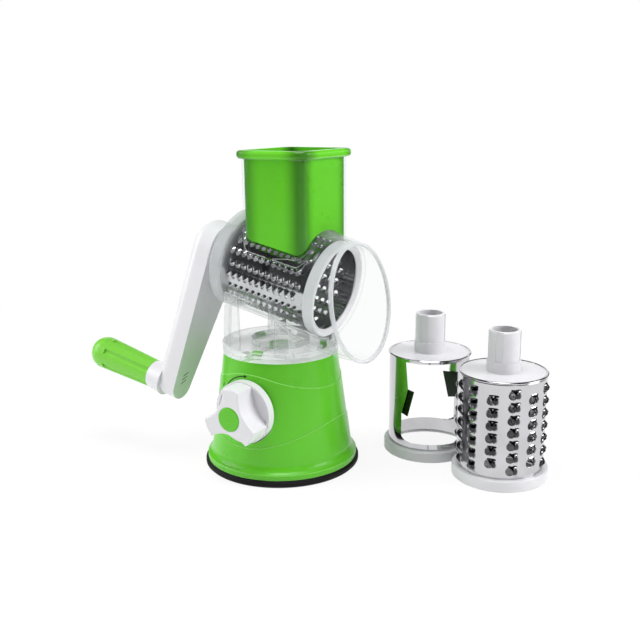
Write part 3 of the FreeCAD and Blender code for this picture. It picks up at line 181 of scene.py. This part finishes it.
def steel(name, look, paintedHoodShade=None):
    # rolled and polished sheet: fine lines along the grain, a little cloudiness, and on the hooded drum painted
    # shade on the hoods
    material, wire, place = newMaterial(name)
    cloud = noise(wire, place, look["cloudScale"], 3)
    grain = noise(wire, place, look["grainScale"], 3, look["grainStretch"])
    colour = cloud.ramp(noiseLow, noiseHigh).mixColour(rgba(look["colour"]), rgba(look["shade"]))
    if paintedHoodShade:
        # painted shade: the punched hoods, which stand out from the round sheet, are darker
        across = wire.vector("MULTIPLY", wire.vector("SUBTRACT", place, paintedHoodShade["middle"]), (1, 1, 0))
        outside = wire.vector("LENGTH", across).ramp(paintedHoodShade["from"], paintedHoodShade["to"])
        colour = outside.mixColour(colour, rgba(paintedHoodShade["colour"]))
    worn = cloud * 0.6 + grain * 0.4
    rough = worn.ramp(noiseLow, noiseHigh, look["roughness"] * 0.7, look["roughness"] * 1.4)
    shader = wire.node("ShaderNodeBsdfPrincipled", values={
        "Base Color": colour, "Roughness": rough, "Metallic": 1.0,
        "Normal": bump(wire, grain, look["grainDepth"], look["grainStrength"])})
    return finish(material, shader)


def clear(name, look, rim=None):
    # clear plastic: see-through face on, whiter where the wall is seen edge on, along its sharp edges
    # and in its thick rim; the seam where barrel and mouth are one moulding stays unseen
    material, wire, place = newMaterial(name)
    ripple = noise(wire, place, look["rippleScale"], 2)
    normal = bump(wire, ripple, look["rippleDepth"], look["rippleStrength"])
    facing = wire.node("ShaderNodeLayerWeight", values={"Blend": 0.5, "Normal": normal}, output=1)
    haze = ripple.ramp(noiseLow, noiseHigh, look["body"] * 0.85, look["body"] * 1.15)
    haze = haze + (facing ** look["edgePower"]) * look["edge"]
    haze = haze + sharpMask(wire, look["edgeWidth"], 0.02, 0.2) * look["corner"]
    if rim:
        # distance in front of the rim's plane, so that the rolled edge is milky
        ahead = wire.vector("DOT_PRODUCT", wire.vector("SUBTRACT", place, rim["middle"]), rim["normal"])
        haze = haze + ahead.ramp(-rim["width"], -rim["width"] / 2) * rim["milk"]
    along = wire.vector("DOT_PRODUCT", wire.vector("SUBTRACT", place, drumFront), drumAxis) - seam["at"]
    haze = haze * wire.maths("ABSOLUTE", along).ramp(seam["halfWidth"], seam["halfWidth"] * 1.5)
    glowing = rgba((0, 0, 0))
    if "mist" in look:
        # the level floor at the foot is hazier and has a painted glow, standing in for the light it gathers
        height = wire.node("ShaderNodeSeparateXYZ", values={0: place}, output=2)
        plain = wire.node("ShaderNodeNewGeometry", output=1)
        level = wire.node("ShaderNodeSeparateXYZ", values={0: plain}, output=2).ramp(0.6, 0.9)
        mist = height.ramp(look["mistFrom"], look["mistFull"]) * level
        haze = haze + mist * look["mist"]
        # painted glow: white emission on the level floor, though it is no lamp
        glowing = mist.mixColour(rgba((0, 0, 0)), rgba((1, 1, 1)))
    body = wire.node("ShaderNodeBsdfPrincipled", values={
        "Base Color": facing.mixColour(rgba(look["colour"]), rgba(look["edgeColour"])),
        "Roughness": look["roughness"], "IOR": look["ior"], "Normal": normal,
        "Emission Color": glowing, "Emission Strength": look["glow"]})
    through = wire.node("ShaderNodeBsdfTransparent", values={"Color": rgba(look["tint"])})
    share = wire.maths("MINIMUM", haze, look["mostHaze"])
    return finish(material, wire.node("ShaderNodeMixShader", values={0: share, 1: through, 2: body}))


# looks of the plastics and metals

green = {"colour": (0.106, 0.52, 0.013), "shade": (0.114, 0.55, 0.015), "roughness": 0.3, "ior": 1.42,
         "coat": 0.12, "coatRoughness": 0.12, "flowScale": 18,
         "peelScale": 900, "peelDepth": 0.00003, "peelStrength": 0.12}
# the base's paler line along its sharp edges is a painted highlight on the ledges
baseGreen = {**green, "edgeColour": (0.36, 0.85, 0.2), "edgeWidth": 0.0009}
gripGreen = {**green, "colour": (0.19, 0.60, 0.05), "shade": (0.20, 0.63, 0.055)}
pusherGreen = {**green, "colour": (0.13, 0.61, 0.014), "shade": (0.137, 0.63, 0.016)}
# painted shade down the pusher's upright corners, standing in for the darkening from the clear chute's corners
pusherCornerShade = {"middle": (0.016, 0, 0), "half": (0.0268, 0.0331, 0), "reach": 0.018, "share": 0.9,
                "colour": (0.022, 0.14, 0.003)}
white = {"colour": (0.73, 0.725, 0.755), "shade": (0.76, 0.755, 0.785), "roughness": 0.32, "ior": 1.46,
         "coat": 0.1, "coatRoughness": 0.12, "flowScale": 22,
         "peelScale": 1100, "peelDepth": 0.00003, "peelStrength": 0.15}
rubber = {"colour": (0.004, 0.004, 0.0045), "shade": (0.007, 0.007, 0.007), "roughness": 0.6, "ior": 1.28,
          "coat": 0.0, "coatRoughness": 0.3, "flowScale": 60,
          "peelScale": 1600, "peelDepth": 0.00008, "peelStrength": 0.35}
sheet = {"colour": (0.56, 0.556, 0.576), "shade": (0.64, 0.636, 0.66), "roughness": 0.11, "cloudScale": 35,
         "grainScale": 300, "grainStretch": (1, 1, 6), "grainDepth": 0.00002, "grainStrength": 0.15}
zinc = {"colour": (0.5, 0.5, 0.52), "shade": (0.62, 0.62, 0.63), "roughness": 0.32, "cloudScale": 80,
        "grainScale": 900, "grainStretch": (1, 1, 1), "grainDepth": 0.00004, "grainStrength": 0.3}
bladeSteel = {**sheet, "colour": (0.035, 0.035, 0.038), "shade": (0.06, 0.06, 0.062), "roughness": 0.3}

crankTurn = next(joint for joint in frame["joints"] if joint["name"] == "crank_turn")
drumFront, drumAxis = crankTurn["pos_m"], crankTurn["axis"]
seam = {"at": 0.0438, "halfWidth": 0.0024}          # along the drum's axis from its front
barrelLook = {"colour": (0.74, 0.76, 0.78), "edgeColour": (0.70, 0.72, 0.74), "tint": (0.985, 0.992, 0.988),
              "body": 0.012, "edge": 0.7, "edgePower": 5.0, "corner": 0.55, "edgeWidth": 0.0006,
              "mostHaze": 0.95, "glow": 0.0, "roughness": 0.06, "ior": 1.5,
              "rippleScale": 120, "rippleDepth": 0.0001, "rippleStrength": 0.1}
barrelRim = {"middle": (-0.0383, 0, 0.1651), "normal": drumAxis, "width": 0.015, "milk": 0.38}
pedestalLook = {**barrelLook, "colour": (0.82, 0.85, 0.85), "edgeColour": (0.80, 0.82, 0.83), "body": 0.16,
                "corner": 0.8, "edgePower": 2.4, "mist": 0.35, "mistFrom": 0.0991, "mistFull": 0.0985,
                "glow": 0.2}
mouthLook = {**barrelLook, "body": 0.006, "edge": 0.6}
mouthRim = {"middle": (0.0734, 0, 0.1385), "normal": (0.987, 0, 0.1616), "width": 0.0024, "milk": 0.6}
chuteLook = {**barrelLook, "edgeColour": (0.42, 0.42, 0.47), "edge": 0.9, "edgePower": 7.0, "body": 0.003}

materials = {"green_plastic": plastic("greenPlastic", green),
             "white_plastic": plastic("whitePlastic", white),
             "rubber": plastic("blackRubber", rubber),
             "stainless": steel("stainlessSheet", sheet),
             "steel": steel("zincSteel", zinc),
             "clear_plastic": clear("clearPlastic", barrelLook, barrelRim)}
special = {"base_shell": plastic("basePlastic", baseGreen),
           "slicer_blades": steel("darkBlade", bladeSteel),
           "grip": plastic("gripPlastic", gripGreen),
           "pusher": plastic("pusherPlastic", pusherGreen, pusherCornerShade),
           "housing_chute": clear("clearChute", chuteLook),
           "housing_pedestal": clear("clearPedestal", pedestalLook),
           "housing_mouth": clear("clearMouth", mouthLook, mouthRim)}
slotOf = {part["node"]: part["material_slot"] for part in frame["record"]["subparts"]}
for name, thing in nodes.items():
    thing.data.materials.clear()
    thing.data.materials.append(special.get(name) or materials[slotOf[name]])
print("materials on", len(nodes), "nodes")


# frames and surfaces

def axisFrame(origin, along, side):
    # matrix whose Z runs along, Y as near side as it can
    z = Vector(along).normalized()
    y = (Vector(side) - z * Vector(side).dot(z)).normalized()
    return Matrix.Translation(origin) @ Matrix((y.cross(z), y, z)).transposed().to_4x4()


def standing(node):
    # upright frame in the middle of a spare drum's ring
    low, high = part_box(node)
    return axisFrame(((low.x + high.x) / 2, (low.y + high.y) / 2, 0), (0, 0, 1), (0, 1, 0))


def heights(node, place):
    # where a CAD node begins and ends along the Z of a frame of its own
    inside = place.inverted()
    along = [(inside @ corner.co).z for corner in nodes[node].data.vertices]
    return min(along), max(along)


def surface(name, points, faces, material, smooth=True):
    # a mesh object from arrays of places (n, 3) and faces (m, 3 or 4)
    mesh = bpy.data.meshes.new(name)
    mesh.from_pydata(points.tolist(), [], faces.tolist())
    mesh.polygons.foreach_set("use_smooth", [smooth] * len(mesh.polygons))
    mesh.update()
    made = bpy.data.objects.new(name, mesh)
    scene.collection.objects.link(made)
    mesh.materials.append(material)
    return made


def gridFaces(rows, columns, closedRows=False, closedColumns=False):
    # faces of a grid of rows by columns whose points are stored row after row
    i = np.arange(rows if closedRows else rows - 1)
    j = np.arange(columns if closedColumns else columns - 1)
    i, j = np.meshgrid(i, j, indexing="ij")
    a, b = (i + 1) % rows, (j + 1) % columns
    return np.stack([i * columns + j, i * columns + b, a * columns + b, a * columns + j], -1).reshape(-1, 4)


def moved(points, place):
    # points in a local frame to the part's frame
    turn = np.array(place.to_3x3())
    return points @ turn.T + np.array(place.translation)


def weld(made, distance):
    # joins points that meet
    work = bmesh.new()
    work.from_mesh(made.data)
    bmesh.ops.remove_doubles(work, verts=work.verts, dist=distance)
    work.to_mesh(made.data)
    work.free()


def thicken(made, thickness, side):
    # gives a skin its wall: side -1 grows it inwards, 0 to both sides
    skin = made.modifiers.new("thickness", "SOLIDIFY")
    skin.thickness, skin.offset = thickness, side


def lathe(name, r, z, place, material, steps=144):
    # round piece about the local Z: points (r cos a, r sin a, z) for each (r, z) of a closed outline
    angle = np.arange(steps) / steps * 2 * math.pi
    grid = np.stack([r[:, None] * np.cos(angle), r[:, None] * np.sin(angle),
                     np.repeat(z[:, None], steps, 1)], -1)
    faces = gridFaces(len(r), steps, True, True)[:, ::-1]
    return surface(name, moved(grid.reshape(-1, 3), place), faces, material)


# drums

borderGap = 5e-6        # points of neighbouring cells that are nearer than this are one point
intoRoll = 1.8          # the punched sheet stops this many rolls below the steel's upper edge
bendSteps = 9           # points round the half-round bead


def hoodedCell(look, half):
    # One hole's cell of the unrolled sheet, as rings of points round the hole and how far each stands out.
    # Ring r lies between the hole's edge H and the cell's border B: P = H + (B - H) s, s = (r / rings)^power.
    # The hood lifts it by h max(0, cos(psi - lean))^sharpness cos(pi/2 d / reach)^2, where d is the way from
    # the hole's edge, and a burr stands round the hole.
    t = np.arange(look["cornerSteps"]) / look["cornerSteps"]
    one = np.ones(len(t))
    sides = (one, 2 * t - 1), (1 - 2 * t, one), (-one, 1 - 2 * t), (2 * t - 1, -one)
    border = np.concatenate([np.stack(side, 1) for side in sides]) * half
    psi = np.arctan2(border[:, 1], border[:, 0])
    lean = math.radians(look["lean"])
    rise = np.clip(np.cos(psi - lean), 0, 1) ** look["sharpness"]
    tip = np.array([math.cos(lean), math.sin(lean)])
    edge = look["hole"] * np.stack([np.cos(psi), np.sin(psi)], 1) - look["overhang"] * rise[:, None] * tip
    s = (np.arange(look["rings"] + 1) / look["rings"]) ** look["power"]
    flat = edge[None] + (border - edge)[None] * s[:, None, None]
    way = np.linalg.norm(flat - edge[None], axis=-1)
    fall = np.clip(way / np.minimum(look["reach"], way[-1]), 0, 1)
    lift = look["height"] * rise[None] * np.cos(fall * math.pi / 2) ** 2
    lift += look["burr"] * np.exp(-((way - look["burr"]) / look["burr"]) ** 2) * (1 - s)[:, None]
    return flat, lift


def rowsTo(start, end, step):
    # lattice rows from start towards end, and end itself
    sliver = 0.3          # no lattice row comes nearer to the end than this share of a step
    count = math.floor((end - start) / step - sliver) + 1
    return np.append(start + step * np.arange(count), end)


def punchedSheet(name, look, place, low, high, material):
    # Round sheet of punched, hooded holes. A point (u, v, w) of the unrolled sheet comes to the angle u / R,
    # the height v and the radius R + w. Neighbouring columns are half a pitch apart, and all borders share
    # one lattice of pitch / cornerSteps.
    columns, corner, pitch = look["columns"], look["cornerSteps"], look["pitch"]
    halfAcross, halfAlong = math.pi * look["radius"] / columns, pitch / 2
    flat, lift = hoodedCell(look, (halfAcross, halfAlong))
    cell = gridFaces(look["rings"] + 1, 4 * corner, closedColumns=True)[:, ::-1]
    parts, faces, start = [], [], 0
    for column in range(columns):
        isOdd = column % 2
        across = column * 2 * halfAcross
        holes = look["perColumn"] - look["fewerInOdd"] * isOdd
        first = look["first"] + halfAlong * isOdd
        for hole in range(holes):
            centred = [flat[..., 0] + across, flat[..., 1] + first + hole * pitch, lift]
            parts.append(np.stack(centred, -1).reshape(-1, 3))
            faces.append(cell + start)
            start += len(parts[-1])
        # plain sheet below the first cell and above the last
        below = rowsTo(first - halfAlong, low, -pitch / corner)[::-1]
        above = rowsTo(first + (holes - 0.5) * pitch, high, pitch / corner)
        u = np.linspace(-halfAcross, halfAcross, corner + 1) + across
        for v in (below, above):
            parts.append(np.stack([*np.meshgrid(u, v), np.zeros((len(v), corner + 1))], -1).reshape(-1, 3))
            faces.append(gridFaces(len(v), corner + 1) + start)
            start += len(parts[-1])
    unrolled = np.concatenate(parts)
    angle = unrolled[:, 0] / look["radius"] + math.radians(look["turn"])
    out = look["radius"] + unrolled[:, 2]
    points = np.stack([out * np.cos(angle), out * np.sin(angle), unrolled[:, 1]], 1)
    made = surface(name, moved(points, place), np.concatenate(faces), material)
    weld(made, borderGap)
    thicken(made, look["thickness"], -1)
    return made


def rolledEdge(name, look, place, high, material):
    # a half-round bead on the steel's upper edge
    bend = np.linspace(-math.pi / 2, math.pi / 2, bendSteps)
    r = np.append(look["radius"] + look["roll"] * np.cos(bend), (look["radius"] - look["thickness"],) * 2)
    z = high - look["roll"] + np.append(look["roll"] * np.sin(bend), (look["roll"], -look["roll"]))
    return lathe(name, r, z, place, material)


drumFrame = axisFrame(drumFront, drumAxis, (0, 1, 0))
fine = {"radius": 0.0332, "thickness": 0.0006, "roll": 0.0009, "turn": -84,
        "columns": 22, "perColumn": 12, "fewerInOdd": 0, "pitch": 0.00545, "first": 0.0169,
        "hole": 0.0017, "lean": 0, "height": 0.0019, "sharpness": 1.6, "overhang": 0.0009, "reach": 0.0038,
        "burr": 0.00012, "rings": 5, "power": 1.4, "cornerSteps": 6}
low, high = heights("drum_cylinder", drumFrame)
fineDrum = punchedSheet("fineDrum", fine, drumFrame, low, high - intoRoll * fine["roll"],
                        materials["stainless"])
fineEdge = rolledEdge("fineEdge", fine, drumFrame, high, materials["stainless"])
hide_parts("drum_cylinder")

spare = standing("shredder_ring")
coarse = {"radius": 0.0332, "thickness": 0.0008, "roll": 0.0009, "turn": -113.4,
          "columns": 13, "perColumn": 7, "fewerInOdd": 1, "pitch": 0.0099, "first": 0.0155,
          "hole": 0.0034, "lean": 30, "height": 0.0026, "sharpness": 1.8, "overhang": 0.0017, "reach": 0.0056,
          "burr": 0.00015, "rings": 9, "power": 1.4, "cornerSteps": 8}
# painted shade on the hoods, standing in for their dark reflections
paintedHoodShade = {"middle": tuple(spare.translation), "from": coarse["radius"] + 0.0003,
         "to": coarse["radius"] + 0.0011, "colour": (0.05, 0.05, 0.053)}
hoodShadeSteel = steel("hoodShadeSheet", sheet, paintedHoodShade)
low, high = heights("shredder_cylinder", spare)
coarseDrum = punchedSheet("coarseDrum", coarse, spare, low, high - intoRoll * coarse["roll"], hoodShadeSteel)
coarseEdge = rolledEdge("coarseEdge", coarse, spare, high, materials["stainless"])
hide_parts("shredder_cylinder")
for piece, body in ((fineDrum, "crank"), (fineEdge, "crank"), (coarseDrum, "base"), (coarseEdge, "base")):
    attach(piece, body)
print("drums made")


# low ring wall on the clear floor under the barrel

wall = {"foot": 0.0986, "height": 0.005, "radius": 0.0235, "thickness": 0.0014}
# its outline in shares of thickness and height, with broken upper corners
r = wall["radius"] - wall["thickness"] * np.array([0, 0, 0.2, 0.8, 1, 1])
z = wall["foot"] + wall["height"] * np.array([0, 0.93, 1, 1, 0.93, 0])
floorRing = lathe("floor_ring", r, z, Matrix(), clear("clearWall", {**pedestalLook, "body": 0.25}))
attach(floorRing, "housing")


# marks on the crank's cover, and the turning arrow over the knob

dark = {"colour": (0.03, 0.03, 0.032), "shade": (0.05, 0.05, 0.05), "roughness": 0.5, "ior": 1.45,
        "coat": 0.0, "coatRoughness": 0.3, "flowScale": 400,
        "peelScale": 2500, "peelDepth": 0.00002, "peelStrength": 0.2}
darkGreen = {**dark, "colour": (0.005, 0.03, 0.004), "shade": (0.008, 0.04, 0.006), "ior": 1.3}
marks = {"count": 3, "first": 0.113, "pitch": 0.0034, "length": 0.0059, "width": 0.0008, "skew": 0.002,
         "roundness": 12, "steps": 7, "lean": 17.6, "depth": 0.1065, "thickness": 0.0002}


def crankMarks(look):
    # each mark is a slanted strip in the recess of the cover: (away + 2 skew v, length v) along and across
    # the arm, with v from -1/2 to 1/2, over the strip's width, which closes at both ends
    v, side = np.meshgrid(np.linspace(-0.5, 0.5, look["steps"]), (0, 1), indexing="ij")
    ends = np.sqrt(np.clip(1 - (2 * np.abs(v)) ** look["roundness"], 0, 1))
    foot = look["first"] - look["pitch"] * np.arange(look["count"])[:, None, None]
    away = foot - look["width"] * (0.5 + (side - 0.5) * ends) + 2 * look["skew"] * v
    across = np.broadcast_to(v * look["length"], away.shape)
    lean = math.radians(look["lean"])
    x = -away * math.cos(lean) + across * math.sin(lean)
    y = -away * math.sin(lean) - across * math.cos(lean)
    points = np.stack([x, y, np.full(x.shape, look["depth"])], -1).reshape(-1, 3)
    strip = gridFaces(look["steps"], 2)
    faces = np.concatenate([strip + v.size * mark for mark in range(look["count"])])[:, ::-1]
    made = surface("crank_marks", moved(points, drumFrame), faces, plastic("darkInk", dark))
    thicken(made, look["thickness"], -1)
    return made


strips = crankMarks(marks)
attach(strips, "crank")

arrow = {"axisHeight": 0.0556, "radius": 0.0266, "width": 0.0008, "from": 146, "to": 95,
         "head": 5, "headWidth": 0.0026, "overlap": 0.4,
         "tickAngle": 151, "tickRadius": 0.0308, "tickLength": 0.0024,
         "arcSteps": 33, "headSteps": 9, "tickSteps": 5,
         "coneFoot": 0.05813, "coneSlope": 0.131, "lift": 0.00008, "thickness": 0.00012}


def band(start, end, steps):
    # angles and sides, -1/2 and 1/2, of a strip along an arc
    return np.meshgrid(np.linspace(start, end, steps), (-0.5, 0.5), indexing="ij")


def turningArrow(look):
    # a flat figure of (angle, radius) about the knob's axis, laid on the cone
    # y = -sqrt((foot - slope z)^2 - x^2): an arc, a head that runs out to a point and a short tick
    head, overlap = look["head"], look["overlap"]
    tip = look["to"] - head
    halfTick = math.degrees(look["tickLength"] / look["tickRadius"]) / 2
    arc, arcSide = band(look["from"], look["to"], look["arcSteps"])
    point, pointSide = band(look["to"] + overlap, tip, look["headSteps"])
    tick, tickSide = band(look["tickAngle"] + halfTick, look["tickAngle"] - halfTick, look["tickSteps"])
    taper = (point - tip) / (head + overlap)
    figure = ((arc, look["radius"] + look["width"] * arcSide),
              (point, look["radius"] + look["headWidth"] * taper * pointSide),
              (tick, look["tickRadius"] + look["width"] * tickSide))
    points, faces, start = [], [], 0
    for angle, radius in figure:
        x = radius * np.cos(np.radians(angle))
        z = look["axisHeight"] + radius * np.sin(np.radians(angle))
        y = -np.sqrt((look["coneFoot"] - look["coneSlope"] * z) ** 2 - x ** 2) - look["lift"]
        points.append(np.stack([x, y, z], -1).reshape(-1, 3))
        faces.append(gridFaces(len(angle), 2) + start)
        start += angle.size
    ink = plastic("arrowInk", darkGreen)
    made = surface("turning_arrow", np.concatenate(points), np.concatenate(faces), ink)
    thicken(made, look["thickness"], 0)
    return made


arc = turningArrow(arrow)
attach(arc, "base")
print("marks made")


# floor, backdrop and light

studio = {"floorSize": 6.0, "floorColour": (0.93, 0.93, 0.93), "floorShade": (0.95, 0.95, 0.95),
          "sky": 1.0, "fill": 0.2, "share": 0.88, "fadeFrom": 0.3, "fadeTo": 0.7,
          "shadeFrom": 0.033, "shadeTo": 0.035}


def seenWhite(wire):
    # 1 for what the eye, metal and clear plastic look at, 0 for the light that falls on things
    path = wire.node("ShaderNodeLightPath")
    camera, glossy, passing = (Wire(wire.tree, path.socket.node.outputs[kind])
                               for kind in ("Is Camera Ray", "Is Glossy Ray", "Is Transmission Ray"))
    return wire.maths("MAXIMUM", camera, wire.maths("MAXIMUM", glossy, passing))


bpy.ops.mesh.primitive_plane_add(size=studio["floorSize"], location=(0, 0, 0))
floor = bpy.context.object
floor.name = "floor"
material, wire, place = newMaterial("paleFloor")
mottle = noise(wire, place, 3, 2).ramp(noiseLow, noiseHigh)
shade = mottle.mixColour(rgba(studio["floorColour"]), rgba(studio["floorShade"]))
away = wire.vector("LENGTH", place)
share = away.ramp(studio["fadeFrom"], studio["fadeTo"], studio["share"], 1.0)
covered = wire.vector("DISTANCE", place, tuple(spare.translation))          # dark inside the closed drum
share = share * covered.ramp(studio["shadeFrom"], studio["shadeTo"])
shaded = wire.node("ShaderNodeBsdfPrincipled", values={"Base Color": shade, "Roughness": 0.9})
plain = wire.node("ShaderNodeEmission", values={"Color": (1, 1, 1, 1), "Strength": 1.0})
mixed = wire.node("ShaderNodeMixShader", values={0: seenWhite(wire) * share, 1: shaded, 2: plain})
floor.data.materials.append(finish(material, mixed))

world = bpy.data.worlds.new("studio")
scene.world = world
world.use_nodes = True
tree = world.node_tree
tree.nodes.clear()
wire = Wire(tree)
lit = wire.node("ShaderNodeBackground", values={"Color": (1, 1, 1, 1), "Strength": studio["fill"]})
seen = wire.node("ShaderNodeBackground", values={"Color": (1, 1, 1, 1), "Strength": studio["sky"]})
sky = wire.node("ShaderNodeMixShader", values={0: seenWhite(wire), 1: lit, 2: seen})
worldOut = tree.nodes.new("ShaderNodeOutputWorld")
tree.links.new(sky.socket, worldOut.inputs["Surface"])


def softbox(name, look):
    # a lamp that faces its target
    light = bpy.data.lights.new(name, "AREA")
    light.shape, light.energy = "RECTANGLE", look["power"]
    light.size, light.size_y = look["size"]
    lamp = bpy.data.objects.new(name, light)
    scene.collection.objects.link(lamp)
    lamp.location = look["place"]
    lamp.rotation_euler = (Vector(look["target"]) - Vector(look["place"])).to_track_quat("-Z", "Y").to_euler()


lamps = {"leftLight": {"place": (-1.4, -0.75, 0.8), "target": (0, 0, 0.12), "size": (0.9, 1.1), "power": 21},
         "rightLight": {"place": (1.5, 0.4, 0.75), "target": (0, 0, 0.12), "size": (0.9, 1.1), "power": 18.5},
         "topLight": {"place": (0.1, -0.1, 1.6), "target": (0, 0, 0.1), "size": (0.8, 0.8), "power": 16}}
for name, look in lamps.items():
    softbox(name, look)

blackCloth = plastic("blackCloth", {**rubber, "roughness": 0.9})
mottledCloth = plastic("mottledCloth", {**rubber, "roughness": 0.9, "colour": (0.01, 0.01, 0.01),
                                        "shade": (0.55, 0.55, 0.57), "flowScale": 70})


def flag(name, look):
    # a dark card beside the set that only polished surfaces see, so that the steel has something to mirror
    side = (math.cos(math.radians(look["turn"])), math.sin(math.radians(look["turn"])), 0)
    facing = (0, 0, 1) if look.get("level") else Vector(side).cross(Vector((0, 0, 1)))
    corners = np.array([(-1, -1, 0), (-1, 1, 0), (1, 1, 0), (1, -1, 0)])
    corners = corners * (look["height"] / 2, look["width"] / 2, 0)
    place = axisFrame(look["middle"], facing, side)
    cloth = look.get("cloth", blackCloth)
    card = surface(name, moved(corners, place), np.array([[0, 1, 2, 3]]), cloth, False)
    card.visible_camera = card.visible_diffuse = card.visible_shadow = card.visible_transmission = False


flags = {"frontFlag": {"middle": (-0.28, -0.42, 0.75), "turn": -28, "width": 0.9, "height": 1.4},
         "rightFlag": {"middle": (2.1, 0.2, 1.1), "turn": 90, "width": 3.0, "height": 2.2},
         "leftFlag": {"middle": (-2.0, -0.2, 1.1), "turn": 90, "width": 3.0, "height": 2.2},
         "nearFlag": {"middle": (0.6, -2.0, 1.1), "turn": 0, "width": 3.0, "height": 2.2},
         "farFlag": {"middle": (0.2, 2.1, 1.65), "turn": 0, "width": 3.4, "height": 1.3},
         "topFlag": {"middle": (0, 0, 2.3), "turn": 0, "width": 4.4, "height": 4.4, "level": True},
         "mouthCard": {"middle": (0.32, 0.05, 0.27), "turn": 90, "width": 0.3, "height": 0.22},
         "backCard": {"middle": (0.38, 0.52, 0.12), "turn": -30.6, "width": 0.55, "height": 0.24},
         "spareCard": {"middle": (0.117, 0.028, 0.047), "turn": 108.7, "width": 0.03, "height": 0.088,
                       "cloth": mottledCloth}}
for name, look in flags.items():
    flag(name, look)


# camera

shot = {"place": (0.36632, -0.55790, 0.27866), "azimuth": 30.56, "elevation": 13.69, "roll": -0.44,
        "lens": 48.46, "sensor": 36}
azimuth, elevation, roll = (math.radians(shot[angle]) for angle in ("azimuth", "elevation", "roll"))
back = Vector((math.sin(azimuth) * math.cos(elevation), -math.cos(azimuth) * math.cos(elevation),
               math.sin(elevation)))
right = (-back).cross(Vector((0, 0, 1))).normalized()
up = right.cross(-back)
rolledRight = right * math.cos(roll) + up * math.sin(roll)
rolledUp = up * math.cos(roll) - right * math.sin(roll)
turn = Matrix((rolledRight, rolledUp, back)).transposed().to_4x4()
lens = bpy.data.cameras.new("camera")
lens.lens, lens.sensor_width = shot["lens"], shot["sensor"]
cameraObject = bpy.data.objects.new("camera", lens)
scene.collection.objects.link(cameraObject)
cameraObject.matrix_world = Matrix.Translation(shot["place"]) @ turn
scene.camera = cameraObject
scene.view_settings.view_transform = "Standard"
print("stage set")
